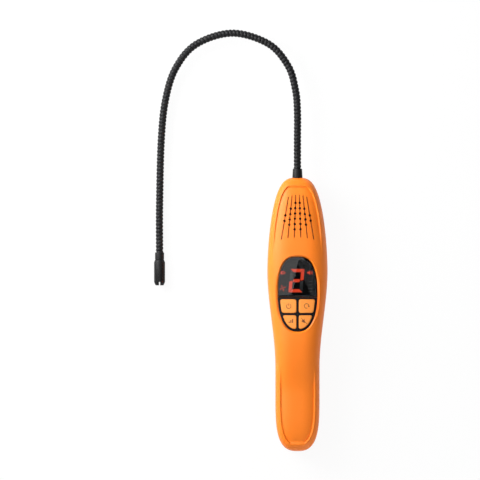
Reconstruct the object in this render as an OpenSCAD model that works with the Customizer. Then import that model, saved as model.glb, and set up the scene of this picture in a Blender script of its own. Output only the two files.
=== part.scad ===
// Hand-held refrigerant leak detector, lying on its flat back with the display up.
// A two-part grip housing holds the board, the keys and two AAA cells. A wound gooseneck
// rises from the head, arches over and comes down to a slotted sensor tip.
// X runs across the housing, Y from tail to head, Z up out of the display. Millimetres.

/* [Housing] */
// Length of the housing, tail to head
body_len = 207; // [195:1:225]
// Greatest width, across the display
body_w = 45.6; // [44:0.2:50]
// Width of the grip
grip_w = 33.4; // [32.4:0.1:37]
// Height of the split line above the flat back
split_h = 15; // [14.6:0.2:17]
// Rise of the front face above the split line, at the display
front_h = 17; // [16:0.5:20]
// Rise of the front face above the split line, on the grip
grip_h = 13; // [12:0.5:16]
// Wall of both shells
wall = 2.2; // [1.8:0.1:2.5]
// Width of the rim round the hollowed face
rim_w = 3.9; // [3:0.1:5]
// Length of the rim at both ends of the hollowed face
rim_end = 6.4; // [5:0.2:8]
// Depth of the hollowed face
hollow = 0.9; // [0.3:0.1:1]

/* [Display and keys] */
// Width of the window and key pocket
pocket_w = 30; // [28:0.5:32]
// Length of the pocket
pocket_len = 56.6; // [54:0.2:60]
// Height of the pocket's widest place above the middle of the housing
pocket_y = 17.5; // [15:0.5:20]
// Width of the bevel round the pocket
bevel_w = 1; // [0.8:0.1:2]
// Depth of the lens below the front face
lens_sink = 1.3; // [1:0.1:1.6]
// Thickness of the lens at its middle
lens_t = 2.5; // [2.2:0.1:3]
// Radius of the crowned lens
lens_r = 80; // [70:1:140]
// Part of the pocket above its widest place
pocket_top = 0.463; // [0.42:0.01:0.5]
// Height of the keys along the housing
key_len = 10.2; // [9:0.1:10.6]
// Gap between two keys
key_gap = 1.9; // [1.4:0.1:2.2]
// Black margin between the keys and the pocket's edge
key_margin = 1.8; // [1.3:0.1:2.2]
// Height of the keys above their surround
key_proud = 0.5; // [0.3:0.1:0.8]
// Travel of a key
key_travel = 0.9; // [0.5:0.1:1]
// Room round each key in its surround
key_play = 0.25; // [0.2:0.05:0.35]

/* [Vent] */
// Number of vent slots
vent_slots = 6; // [4:2:8]
// Length of the middle slots
vent_len = 32.3; // [28:0.5:34]
// Height of the vent's middle above the middle of the housing
vent_y = 74.4; // [70:0.5:78]
// Width of a slot
vent_slot_w = 0.8; // [0.6:0.1:1]
// Depth of a slot
vent_slot_d = 0.8; // [0.3:0.1:0.9]
// Diameter of the vent holes
vent_hole_d = 1.6; // [1:0.1:1.8]
// Distance between two holes along a slot
vent_pitch = 4; // [3.4:0.1:4.4]
// Distance between two slots at their head ends
vent_gap_head = 2.75; // [2.4:0.05:3]
// Distance between two slots at their tail ends
vent_gap_tail = 4.9; // [4:0.1:5.2]

/* [Gooseneck] */
// Outer diameter over the winding
neck_d = 5.7; // [5.2:0.1:6.2]
// Depth of the groove between two turns
groove_d = 0.75; // [0.4:0.05:0.9]
// Pitch of the winding
neck_pitch = 2.77; // [2.4:0.01:3.4]
// Bore of the winding
neck_bore = 2.8; // [2.6:0.1:3]
// Distance between the rising run and the falling run
arch_span = 104.5; // [95:0.5:120]
// Height of the arch above the collar
arch_rise = 102.7; // [90:0.5:120]
// Drop of the ferrule's top below the collar's mouth
tip_drop = 63.4; // [50:0.2:75]
// Length of collar that stands out of the head
collar_len = 6.8; // [6:0.1:10]
// Diameter of the collar at its mouth
collar_d = 7.1; // [7:0.1:8]
// Diameter of the collar where it leaves the head
collar_base_d = 7.7; // [7.6:0.1:8.6]
// Diameter of the lead inside the gooseneck
lead_d = 1.8; // [1.4:0.1:2.2]

/* [Sensor tip] */
// Diameter of the ferrule
ferrule_d = 6.9; // [6.8:0.1:7.6]
// Length of the ferrule
ferrule_len = 5.5; // [5:0.1:8]
// Diameter of the cap
cap_d = 8.35; // [8.3:0.05:9.6]
// Length of the cap
cap_len = 19.4; // [18:0.2:24]
// Width of the slot across the end of the cap
cap_slot = 1; // [0.8:0.1:1.6]
// Diameter of the sensor can
sensor_d = 4.4; // [3.6:0.1:4.8]
// Length of the sensor can
sensor_len = 6; // [4:0.2:7]

/* [Power] */
// Diameter of a cell
cell_d = 10.5; // [10:0.1:10.8]
// Length of a cell without its button
cell_len = 43.5; // [43:0.1:44]
// Height of a cell's button
cell_button = 1; // [0.8:0.1:1.2]
// Length of the coil springs
spring_len = 5; // [4:0.2:6]
// Thickness of the contact strip
strip_t = 0.4; // [0.3:0.05:0.6]
// Wire of the coil springs
spring_wire = 0.7; // [0.5:0.05:0.8]

/* [Board] */
// Width of the board
board_w = 27; // [25:0.5:28]
// Thickness of the board
board_t = 1.6; // [1:0.2:2]
// Height of the board's top above the split line
board_rise = 4; // [3.6:0.1:5]

/* [Hidden] */

$fn = 48;
orange = [0.95, 0.47, 0.12];
key_orange = [0.98, 0.58, 0.2];
black = [0.07, 0.07, 0.075];
steel = [0.72, 0.73, 0.74];
eps = 0.02;
far = 400;

// Room between pieces that are pressed or dropped together, and between pieces that slide
seat_room = 0.1;
slide_room = 0.25;

// Outline of the housing
half_len = body_len / 2;
wide_y = 33;
waist_y = -40;
tail_round = 44;
low_from_y = -16;
low_run = 46;
back_cut = 0.4;
front_n = 3;
rear_n = 4;
step_w = 1.7;

// How the ends round off: powers for the width, the front and the back, at head and tail
head_side_curve = [1.7, 3.3];
tail_side_curve = [3.8, 2.7];
head_front_curve = [3.2, 2.6];
tail_front_curve = [5, 2.6];
head_back_curve = [3.4, 2.6];
tail_back_curve = [5.5, 2.6];

function smooth(t) = let (c = min(1, max(0, t))) c * c * (3 - 2 * c);
function round_end(u, curve) = pow(max(0, 1 - pow(min(1, max(0, u)), curve[0])), 1 / curve[1]);
function head_u(y) = (y - wide_y) / (half_len - wide_y);
function tail_u(y) = (tail_round - half_len - y) / tail_round;
function grip_share(y) = smooth((wide_y - y) / (wide_y - waist_y));
function low_share(y) = smooth((low_from_y - y) / low_run);
function between(a, b, t) = a + (b - a) * t;

// Half the width, the rise of the front and the drop of the back, along the housing
function half_w(y) = between(body_w, grip_w, grip_share(y)) / 2
    * round_end(head_u(y), head_side_curve) * round_end(tail_u(y), tail_side_curve);
function front_rise(y) = between(front_h, grip_h, low_share(y))
    * round_end(head_u(y), head_front_curve) * round_end(tail_u(y), tail_front_curve);
function rear_drop(y) = (split_h + back_cut)
    * round_end(head_u(y), head_back_curve) * round_end(tail_u(y), tail_back_curve);
function arch(x, a, b, n) = b * pow(max(0, 1 - pow(min(1, abs(x) / a), n)), 1 / n);
function back_z(x, y) = split_h - arch(x, half_w(y), rear_drop(y), rear_n);

// The hollowed face: its half width, and its depth, which fades out towards the display
inset_scale = half_len / (half_len - rim_end);
hollow_least = 0.42;
head_hollow_y = 38;
head_hollow_run = 34;
tail_hollow_y = -34;
tail_hollow_run = 26;
function hollow_w(y) = let (a = half_w(y), side = y > 0 ? body_w / 2 : grip_w / 2)
    max(hollow_least * a, half_w(y * inset_scale) * (1 - rim_w / side));
function hollow_at(y) = hollow * smooth((half_len - rim_end - abs(y)) / step_w)
    * smooth(y > 0 ? (y - head_hollow_y) / head_hollow_run : (tail_hollow_y - y) / tail_hollow_run);
function face_z(x, y) = split_h + arch(x, half_w(y), front_rise(y), front_n)
    - (abs(x) <= hollow_w(y) + eps ? hollow_at(y) : 0);

// Rows along the housing: close together at the ends and at the hollow's end walls
end_rows = [0.002, 0.04, 0.15, 0.34, 0.6, 1];
mid_rows = 11;
half_rows = concat(
    [for (k = end_rows) half_len - rim_end * k],
    [for (k = [0 : mid_rows - 1]) (half_len - rim_end - step_w) * (1 - pow(k / mid_rows, 1.3))]
);
rows = concat([for (y = half_rows) -y], [0], [for (k = [len(half_rows) - 1 : -1 : 0]) half_rows[k]]);
inner_rows = 16;
inner_half = half_len - wall;
function inner_y(k) = inner_half * sin(90 * (2 * k / inner_rows - 1));

flank_cols = 5;
face_cols = 4;
rim_most = 0.97;
flat_least = 0.15;
function flank(a, b, n, x_end, side) = let (t_end = acos(pow(x_end / a, n / 2)))
    [for (k = [0 : flank_cols]) let (t = t_end * k / flank_cols)
        [side * a * pow(cos(t), 2 / n), b * pow(sin(t), 2 / n)]];
function backwards(list) = [for (k = [len(list) - 1 : -1 : 0]) list[k]];

function front_ring(y) = let (
    a = half_w(y),
    b = front_rise(y),
    w = hollow_w(y),
    right = flank(a, b, front_n, min(w + step_w, rim_most * a), 1),
    face = [for (k = [face_cols : -1 : -face_cols]) w * k / face_cols],
    left = backwards(flank(a, b, front_n, min(w + step_w, rim_most * a), -1))
) concat(
    [for (p = right) [p.x, y, split_h + p.y]],
    [for (x = face) [x, y, split_h + arch(x, a, b, front_n) - hollow_at(y)]],
    [for (p = left) [p.x, y, split_h + p.y]]
);
function flat_w(y) = let (a = half_w(y), b = rear_drop(y))
    max(flat_least * a, b > split_h ? a * pow(1 - pow(split_h / b, rear_n), 1 / rear_n) : 0);
function rear_ring(y) = let (
    a = half_w(y),
    b = rear_drop(y),
    left = flank(a, b, rear_n, flat_w(y), -1),
    right = backwards(flank(a, b, rear_n, flat_w(y), 1))
) [for (p = concat(left, right)) [p.x, y, max(0, split_h - p.y)]];

inner_cols = 12;
function inner_ring(y, up) = let (
    a = half_w(y) - wall,
    b = (up > 0 ? front_rise(y) : rear_drop(y) - back_cut) - wall,
    n = up > 0 ? front_n : rear_n,
    over = [for (k = [0 : inner_cols]) let (t = 180 * k / inner_cols)
        [a * sign(cos(t)) * pow(abs(cos(t)), 2 / n), split_h + up * b * pow(sin(t), 2 / n)]],
    ring = concat([[a, split_h - up]], over, [[-a, split_h - up]])
) [for (p = up > 0 ? ring : backwards(ring)) [p.x, y, p.y]];

// A closed solid through a list of rings, each with the same number of points
module skin(rings) {
    n = len(rings[0]);
    last = len(rings) - 1;
    points = [for (r = rings) each r];
    sides = [for (i = [0 : last - 1]) for (j = [0 : n - 1]) let (
        a = i * n + j,
        b = i * n + (j + 1) % n
    ) each [[a, b, b + n], [a, b + n, a + n]]];
    ends = [[for (j = [n - 1 : -1 : 0]) j], [for (j = [0 : n - 1]) last * n + j]];
    polyhedron(points, concat(sides, ends), convexity = 6);
}

module front_form() {
    skin([for (y = rows) front_ring(y)]);
}

module rear_form() {
    skin([for (y = rows) rear_ring(y)]);
}

module inner_form(up) {
    skin([for (k = [0 : inner_rows]) inner_ring(inner_y(k), up)]);
}

module along_y(x, y, z) {
    translate([x, y, z]) rotate([-90, 0, 0]) children();
}

module mirrored_x() {
    children();
    mirror([1, 0, 0]) children();
}

// Pocket for the window and the keys: an egg-shaped outline, blunt at the top
pocket_points = 56;
pocket_spread = 0.8;
blunt_curve = [2.2, 3];
round_curve = [2.4, 2.4];
pocket_up = pocket_len * pocket_top;
pocket_down = pocket_len - pocket_up;
function egg(u, up) = round_end(u, up ? blunt_curve : round_curve);
function pocket_half(y, inset) = let (up = y > pocket_y, reach = (up ? pocket_up : pocket_down) - inset)
    (pocket_w / 2 - inset) * egg(abs(y - pocket_y) / reach, up);
function pocket_ring(inset) = [for (k = [0 : pocket_points - 1]) let (
    t = 360 * (k + 0.5) / pocket_points,
    up = sin(t) > 0,
    y = pocket_y + ((up ? pocket_up : pocket_down) - inset) * sign(sin(t)) * pow(abs(sin(t)), pocket_spread)
) [sign(cos(t)) * pocket_half(y, inset), y]];

crown_z = split_h + front_h;
lens_top = crown_z - lens_sink;
ledge_z = lens_top - lens_t;
ledge_t = 1.4;
ledge_w = 0.8;
seat_w = 1.8;
lens_end_y = 13;
function lens_z(x) = lens_top - lens_r + sqrt(lens_r * lens_r - x * x);

// Everything under the crowned face of the display, raised by lift
module under_crown(lift) {
    intersection() {
        along_y(0, -half_len, lens_top - lens_r) cylinder(r = lens_r + lift, h = body_len, $fn = 200);
        children();
    }
}

// Cut for the pocket: straight walls from the ledge up, then a bevel out to the front face
module pocket_cut() {
    inner = backwards(pocket_ring(-seat_room));
    outer = backwards(pocket_ring(-bevel_w));
    skin([
        [for (p = inner) [p.x, p.y, ledge_z]],
        [for (p = inner) [p.x, p.y, lens_z(p.x) + eps]],
        [for (p = outer) [p.x, p.y, face_z(p.x, p.y) + eps]],
        [for (p = outer) [p.x, p.y, crown_z + wall]]
    ]);
}

// Battery bay in the grip, open to the back under the door
cell_gap = 0.7;
cell_room = 0.4;
cell_lift = 0.5;
cell_x = (cell_d + cell_gap) / 2;
bay_w = 2 * (cell_x + cell_d / 2 + cell_room);
pad_room = strip_t + seat_room;
tail_room = 15.8;
bay_len = cell_len + cell_button + spring_len + 2 * pad_room + 2 * seat_room;
bay_tail = tail_room - half_len;
bay_head = bay_tail + bay_len;
bay_wall = 1.4;
cell_z = wall + cell_lift + cell_d / 2;
bay_top = cell_z + cell_d / 2 + cell_room;
pad_w = 7;
pad_h = 5.4;
tag_w = 3;
tag_y = bay_head - pad_room;
rail_z = 2;
rail_h = 1.4;
rail_w = 1.3;
rail_stop = 4;
door_head = bay_head + 1;
door_sink = 0.25;

// Screws that hold the shells together: place, tower and sizes
screw_x = 10.4;
screw_ys = [bay_head + 6.5, half_len - 15.5];
screw_d = 2.6;
screw_head_d = 4.6;
screw_head_h = 2;
screw_seat_z = 6;
screw_len = 16;
tower_d = 6.2;
cross_w = 0.7;
cross_span = 0.6;
cross_depth = 0.55;

// Screws and posts of the board
board_top = split_h + board_rise;
board_low = board_top - board_t;
board_tail = bay_head + 12;
board_head = half_len - 21.5;
post_x = 10;
post_ys = [board_tail + 6, board_head - 25];
post_d = 5.4;
board_screw_d = 2.2;
board_screw_head_d = 4;
board_screw_head_h = 1.5;
board_screw_len = 6;

// Collar in the head: its bore and the groove for its flange run half in each shell
neck_z = split_h;
mouth_y = half_len + collar_len;
boss_d = 13;
boss_tail = half_len - 13.5;
boss_head = half_len - wall - slide_room;
flange_d = 11;
flange_t = 2;
flange_y = half_len - 9;
collar_in_y = half_len - 11.5;

module neck_room() {
    along_y(0, boss_tail - eps, neck_z) cylinder(d = collar_base_d + 2 * seat_room, h = far);
    along_y(0, flange_y - seat_room, neck_z)
        cylinder(d = flange_d + 2 * seat_room, h = flange_t + 2 * seat_room);
}

module half_boss(up) {
    intersection() {
        along_y(0, boss_tail, neck_z) cylinder(d = boss_d, h = boss_head - boss_tail);
        translate([-far / 2, 0, up > 0 ? split_h : split_h - far]) cube(far);
    }
}

// Vent: slots that fan out from the head, with holes along them, fewer towards the sides
vent_sweep = 0.25;
slot_steps = 5;
function slot_at(i) = i - (vent_slots - 1) / 2;
function slot_x(i, t) = slot_at(i) * between(vent_gap_head, vent_gap_tail, t);
function slot_y(i, t) = vent_y + vent_len * (0.5 - t) - vent_sweep * slot_at(i) * slot_at(i);
function slot_holes(i) = vent_slots - 2 * floor(abs(slot_at(i)));

module vent_slot(i) {
    w = vent_slot_w / 2;
    skin([for (k = [0 : slot_steps]) let (
        t = k / slot_steps,
        x = slot_x(i, t),
        y = slot_y(i, t),
        low = face_z(x, y) - vent_slot_d,
        top = face_z(x, y) + wall
    ) [[x - w, y, low], [x - w, y, top], [x + w, y, top], [x + w, y, low]]]);
}

module vent_holes(i) {
    n = slot_holes(i);
    for (k = [0 : n - 1]) {
        t = 0.5 + (k - (n - 1) / 2) * vent_pitch / vent_len;
        translate([slot_x(i, t), slot_y(i, t), split_h]) cylinder(d = vent_hole_d, h = far, $fn = 16);
    }
}

module front_shell() color(orange) {
    difference() {
        union() {
            difference() {
                front_form();
                inner_form(1);
            }
            half_boss(1);
            translate([0, 0, ledge_z - ledge_t])
                linear_extrude(crown_z - wall + seat_room - ledge_z + ledge_t)
                    polygon(pocket_ring(-seat_w));
            mirrored_x() {
                for (y = screw_ys)
                    translate([screw_x, y, split_h])
                        cylinder(d = tower_d, h = face_z(screw_x + tower_d / 2, y) - split_h - wall / 2);
                for (y = post_ys)
                    translate([post_x, y, board_top])
                        cylinder(d = post_d, h = face_z(post_x + post_d / 2, y) - board_top - wall / 2);
            }
        }
        pocket_cut();
        translate([0, 0, split_h]) linear_extrude(front_h) polygon(pocket_ring(ledge_w));
        neck_room();
        for (i = [0 : vent_slots - 1]) {
            vent_slot(i);
            vent_holes(i);
        }
        mirrored_x() {
            for (y = screw_ys)
                translate([screw_x, y, screw_seat_z])
                    cylinder(d = screw_d + 2 * seat_room, h = screw_len + 1);
            for (y = post_ys)
                translate([post_x, y, board_top - eps])
                    cylinder(d = board_screw_d + 2 * seat_room, h = board_screw_len);
        }
    }
}

// Side walls, head wall, roof, and a narrow tail wall that stays clear of the door
module bay_frame() {
    low = rail_z + rail_h;
    head_low = low + 2 * slide_room;
    roof = bay_top + bay_wall;
    tail_w = 2 * cell_x + pad_w + 1;
    tail_low = cell_z - pad_h / 2 - slide_room;
    difference() {
        union() {
            mirrored_x()
                translate([bay_w / 2, bay_tail, low]) cube([bay_wall, bay_len + bay_wall, roof - low]);
            translate([-bay_w / 2 - bay_wall, bay_head, head_low])
                cube([bay_w + 2 * bay_wall, bay_wall, roof - head_low]);
            translate([-tail_w / 2, bay_tail - bay_wall, tail_low]) cube([tail_w, bay_wall, roof - tail_low]);
            translate([-bay_w / 2 - bay_wall, bay_tail - bay_wall, bay_top])
                cube([bay_w + 2 * bay_wall, bay_len + 2 * bay_wall, bay_wall]);
        }
        mirrored_x()
            translate([cell_x - tag_w / 2 - slide_room, tag_y - slide_room, bay_top - eps])
                cube([tag_w + 2 * slide_room, strip_t + 2 * slide_room, bay_wall + 2 * eps]);
    }
}

module rear_shell() color(orange) {
    difference() {
        union() {
            difference() {
                rear_form();
                inner_form(-1);
            }
            half_boss(-1);
            mirrored_x()
                for (y = screw_ys)
                    translate([screw_x, y, back_z(screw_x + tower_d / 2, y) + wall / 2])
                        cylinder(d = tower_d, h = split_h - wall / 2 - back_z(screw_x + tower_d / 2, y));
        }
        neck_room();
        translate([-bay_w / 2, -far, -eps]) cube([bay_w, far + door_head, split_h + 2 * eps]);
        translate([-bay_w / 2 - rail_w, -far, rail_z])
            cube([bay_w + 2 * rail_w, far + door_head - rail_stop, rail_h]);
        mirrored_x()
            for (y = screw_ys)
                translate([screw_x, y, -eps]) {
                    cylinder(d = screw_d + 2 * seat_room, h = far);
                    cylinder(d = screw_head_d + 4 * seat_room, h = screw_seat_z + eps);
                }
    }
    bay_frame();
}

// Door: the back of the grip between the rails, with the tail, and tongues that run in the rails
thumb_ribs = 5;
thumb_pitch = 2.4;
thumb_w = 14;
thumb_cut = [1.2, 0.5];
thumb_from = 6;
tongue_play = 0.2;
tongue_root = 1.2;
tongue_short = 4;
module battery_door() color(orange) {
    half = bay_w / 2 - slide_room;
    tongue_half = half + rail_w - 2 * slide_room;
    tongue_tail = bay_tail + tongue_short;
    tongue_head = door_head - rail_stop - 2 * slide_room;
    difference() {
        union() {
            intersection() {
                difference() {
                    rear_form();
                    inner_form(-1);
                }
                translate([-half, -far, door_sink])
                    cube([2 * half, far + door_head - slide_room, split_h - slide_room - door_sink]);
            }
            translate([-tongue_half, tongue_tail, rail_z + tongue_play])
                cube([2 * tongue_half, tongue_head - tongue_tail, rail_h - 2 * tongue_play]);
        }
        translate([-half + tongue_root, tongue_tail - eps, wall + seat_room])
            cube([2 * (half - tongue_root), tongue_head - tongue_tail + 2 * eps, far]);
        mirrored_x()
            along_y(cell_x, bay_tail, cell_z) cylinder(d = cell_d + 2 * cell_room, h = bay_len);
        for (k = [0 : thumb_ribs - 1])
            translate([-thumb_w / 2, door_head - thumb_from - k * thumb_pitch, -eps])
                cube([thumb_w, thumb_cut[0], door_sink + thumb_cut[1]]);
    }
}

// A self-tapping screw, point up, its head's underside at the origin
module screw(d, head_d, head_h, length) {
    difference() {
        union() {
            translate([0, 0, -head_h]) cylinder(d = head_d, h = head_h, $fn = 32);
            translate([0, 0, -eps]) cylinder(d = d, h = length - d / 2 + eps, $fn = 24);
            translate([0, 0, length - d / 2 - eps]) cylinder(d1 = d, d2 = d / 3, h = d / 2, $fn = 24);
        }
        for (a = [0, 90])
            rotate([0, 0, a])
                translate([-head_d * cross_span / 2, -cross_w / 2, -head_h - eps])
                    cube([head_d * cross_span, cross_w, head_h * cross_depth]);
    }
}

module case_screws() color(steel)
    for (y = screw_ys)
        for (x = [-screw_x, screw_x])
            translate([x, y, screw_seat_z]) screw(screw_d, screw_head_d, screw_head_h, screw_len);

module board_screws() color(steel)
    for (y = post_ys)
        for (x = [-post_x, post_x])
            translate([x, y, board_low])
                screw(board_screw_d, board_screw_head_d, board_screw_head_h, board_screw_len);

module display_window() color(black)
    under_crown(0)
        difference() {
            translate([0, 0, ledge_z]) linear_extrude(lens_t + 1) polygon(pocket_ring(0));
            translate([-far / 2, lens_end_y - far, 0]) cube(far);
        }

// Keys: the pocket's outline inside the black margin, cut into four by the gaps
key_mid_y = 0.3;
key_x = 7;
key_round = 1.6;
stem_d = 4;
frame_sink = 0.15;
function key_side(i) = i % 2 == 0 ? -1 : 1;
function key_row(i) = i < 2 ? 1 : -1;
function key_centre(i) = [key_side(i) * key_x, key_mid_y + key_row(i) * (key_gap + key_len) / 2];
flange_w = 0.4;
flange_h = 0.9;
key_low = ledge_z - frame_sink;

module key_outline(i, grow, over) {
    offset(r = key_round, $fn = 24) offset(delta = -key_round)
        intersection() {
            polygon(pocket_ring(key_margin - grow));
            translate([key_side(i) > 0 ? key_gap / 2 - grow - over : -far - key_gap / 2 + grow + over,
                       key_row(i) > 0 ? key_mid_y + key_gap / 2 - grow - over
                                      : key_mid_y - key_gap / 2 - key_len - grow])
                square([far, key_len + 2 * grow + over]);
        }
}

module key_frame() color(black)
    under_crown(-frame_sink)
        difference() {
            translate([0, 0, ledge_z]) linear_extrude(lens_t + 1) polygon(pocket_ring(0));
            translate([-far / 2, lens_end_y - seat_room, 0]) cube(far);
            for (i = [0 : 3])
                translate([0, 0, ledge_z - 1]) linear_extrude(lens_t + 4) key_outline(i, key_play, 0);
        }

switch_h = 3.5;
switch_w = 6;
switch_button_d = 3.5;
switch_button_h = 1.7;
module key(i) color(key_orange) {
    under_crown(key_proud)
        translate([0, 0, key_low - flange_h]) linear_extrude(lens_t + flange_h + 2) key_outline(i, 0, 0);
    translate([0, 0, key_low - flange_h]) linear_extrude(flange_h) key_outline(i, 0, flange_w);
    stem_low = board_top + switch_h + switch_button_h + key_travel + seat_room;
    c = key_centre(i);
    translate([c.x, c.y, stem_low]) cylinder(d = stem_d, h = key_low - flange_h - stem_low + eps);
}

module key_switch(i) color([0.2, 0.2, 0.22]) {
    c = key_centre(i);
    translate([c.x - switch_w / 2, c.y - switch_w / 2, board_top]) cube([switch_w, switch_w, switch_h]);
    translate([c.x, c.y, board_top + switch_h - eps])
        cylinder(d = switch_button_d, h = switch_button_h + eps);
}

digit_inset = 0.5;
digit_clear = 0.2;
digit_low_y = lens_end_y + 1.2;
module digit_display() color([0.12, 0.1, 0.1])
    translate([0, 0, board_top])
        linear_extrude(ledge_z - digit_clear - board_top)
            difference() {
                polygon(pocket_ring(ledge_w + digit_inset));
                translate([-far / 2, digit_low_y - far]) square(far);
            }

// What sits on the board: sounder above, driver, controller and lead socket below
sounder_d = 19;
sounder_h = 6;
sounder_hole = [3, 1];
driver_size = [20, 26, 9];
driver_gap = 5;
driver_y = post_ys[1] - board_screw_head_d / 2 - driver_gap - driver_size.y;
chip_size = [10, 10, 1.5];
chip_y = 4;
socket_w = 8;
socket_len = 6;
socket_drop = 2;
lead_plug = 3;
module circuit_board() color([0.1, 0.4, 0.2])
    difference() {
        translate([-board_w / 2, board_tail, board_low]) cube([board_w, board_head - board_tail, board_t]);
        mirrored_x()
            for (y = post_ys)
                translate([post_x, y, board_low - eps])
                    cylinder(d = board_screw_d + 4 * seat_room, h = board_t + 1);
    }

module sounder() color([0.15, 0.15, 0.16])
    translate([0, vent_y - 2, board_top])
        difference() {
            cylinder(d = sounder_d, h = sounder_h);
            translate([0, 0, sounder_h - sounder_hole[1]])
                cylinder(d = sounder_hole[0], h = 2 * sounder_hole[1]);
        }

module under_board(size, y) {
    translate([-size.x / 2, y, board_low - size.z]) cube(size);
}

module sensor_driver() color([0.2, 0.22, 0.3]) under_board(driver_size, driver_y);
module controller_chip() color([0.1, 0.1, 0.11]) under_board(chip_size, chip_y);

module lead_socket() color([0.85, 0.83, 0.76])
    difference() {
        under_board([socket_w, socket_len, board_low - neck_z + socket_drop], board_head - socket_len);
        along_y(0, board_head - lead_plug, neck_z)
            cylinder(d = lead_d + 2 * seat_room, h = far, $fn = 24);
    }

// Cells lie side by side, one each way round: the right one has its button to the head
cell_button_d = 3.8;
module cell(side) color([0.25, 0.45, 0.3]) {
    up = side > 0;
    low = up ? tag_y - seat_room - cell_len - cell_button : bay_tail + pad_room + seat_room + cell_button;
    along_y(side * cell_x, low, cell_z) cylinder(d = cell_d, h = cell_len);
    along_y(side * cell_x, up ? low + cell_len - eps : low - cell_button, cell_z)
        cylinder(d = cell_button_d, h = cell_button + eps);
}

// Contact strip: a pad on the bay's head wall, a riser through its roof and a tag under the board
tag_reach = 4;
module board_contact(side) {
    x = side * cell_x;
    translate([x - pad_w / 2, tag_y, cell_z - pad_h / 2]) cube([pad_w, strip_t, pad_h]);
    translate([x - tag_w / 2, tag_y, cell_z]) cube([tag_w, strip_t, board_low - cell_z]);
    translate([x - tag_w / 2, tag_y, board_low - strip_t])
        cube([tag_w, board_tail + tag_reach - tag_y, strip_t]);
}

module contact_plus() color(steel) board_contact(1);
module contact_minus() color(steel) board_contact(-1);
module contact_bridge() color(steel)
    translate([-cell_x - pad_w / 2, bay_tail + seat_room, cell_z - pad_h / 2])
        cube([2 * cell_x + pad_w, strip_t, pad_h]);

// A conical coil spring along Y, its wide end at the origin
spring_d = [5, 3.6];
spring_turns = 3.5;
spring_steps = 10;
wire_sides = 6;
module coil() {
    n = spring_turns * spring_steps;
    r = spring_wire / 2;
    skin([for (k = [0 : n]) let (
        t = k / n,
        a = 360 * k / spring_steps,
        turn_r = between(spring_d[0], spring_d[1], t) / 2,
        y = r + (spring_len - 2 * r) * t
    ) [for (j = [0 : wire_sides - 1]) let (b = -360 * j / wire_sides, reach = turn_r + r * cos(b))
        [reach * cos(a), y + r * sin(b), reach * sin(a)]]]);
}

module spring_left() color(steel)
    translate([-cell_x, tag_y, cell_z]) mirror([0, 1, 0]) coil();
module spring_right() color(steel)
    translate([cell_x, bay_tail + pad_room, cell_z]) coil();

// Route of the gooseneck, as shares of the arch's span and height, from the collar's mouth on
route_shape = [
    [0, 0], [0, 0.21], [0, 0.42], [0.014, 0.58], [0.067, 0.757], [0.21, 0.921], [0.472, 1],
    [0.733, 0.919], [0.883, 0.742], [0.957, 0.506], [0.988, 0.204]
];
collar_floor = 2;
ferrule_floor = 1;
level_from = 40;
level_to = 50;
neck_low = collar_in_y + collar_floor + seat_room;
crimp_len = ferrule_len - ferrule_floor;
tip_top_y = mouth_y - tip_drop;
neck_end_y = tip_top_y - crimp_len;
tip_z = cap_d / 2;
route = concat(
    [[0, neck_low], [0, mouth_y - 5]],
    [for (p = route_shape) [-arch_span * p.x, mouth_y + arch_rise * p.y]],
    [[-arch_span, mouth_y - tip_drop * 0.45], [-arch_span, tip_top_y + 4], [-arch_span, neck_end_y]]
);

// A smooth curve through the route's points, then looked up by distance along it
curve_steps = 12;
look_step = 0.5;
function blend_point(p, t) = 0.5 * (2 * p[1] + (p[2] - p[0]) * t
    + (2 * p[0] - 5 * p[1] + 4 * p[2] - p[3]) * t * t
    + (3 * p[1] - p[0] - 3 * p[2] + p[3]) * t * t * t);
function route_point(i) = i < 0 ? 2 * route[0] - route[1]
    : i >= len(route) ? 2 * route[len(route) - 1] - route[len(route) - 2] : route[i];
curve = concat(
    [for (i = [0 : len(route) - 2]) for (k = [0 : curve_steps - 1])
        blend_point([for (n = [i - 1 : i + 2]) route_point(n)], k / curve_steps)],
    [route[len(route) - 1]]
);
function run_lengths(i, sum) = i >= len(curve) ? []
    : let (s = i == 0 ? 0 : sum + norm(curve[i] - curve[i - 1])) concat([s], run_lengths(i + 1, s));
run = run_lengths(0, 0);
neck_len = run[len(run) - 1];
x_table = [for (i = [0 : len(curve) - 1]) [run[i], curve[i].x]];
y_table = [for (i = [0 : len(curve) - 1]) [run[i], curve[i].y]];
function neck_at(s) = [
    lookup(s, x_table), lookup(s, y_table) - max(0, -s) - max(0, s - neck_len),
    between(neck_z, tip_z, smooth((s - level_from) / (neck_len - level_from - level_to)))
];
function neck_frame(s) = let (
    c = min(neck_len - look_step, max(look_step, s)),
    d = neck_at(c + look_step) - neck_at(c - look_step),
    t = d / norm(d),
    side = cross(t, [0, 0, 1]) / norm(cross(t, [0, 0, 1]))
) [side, cross(side, t)];
function on_neck(s, r, a) = let (f = neck_frame(s)) neck_at(s) + r * (cos(a) * f[0] + sin(a) * f[1]);

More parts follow.
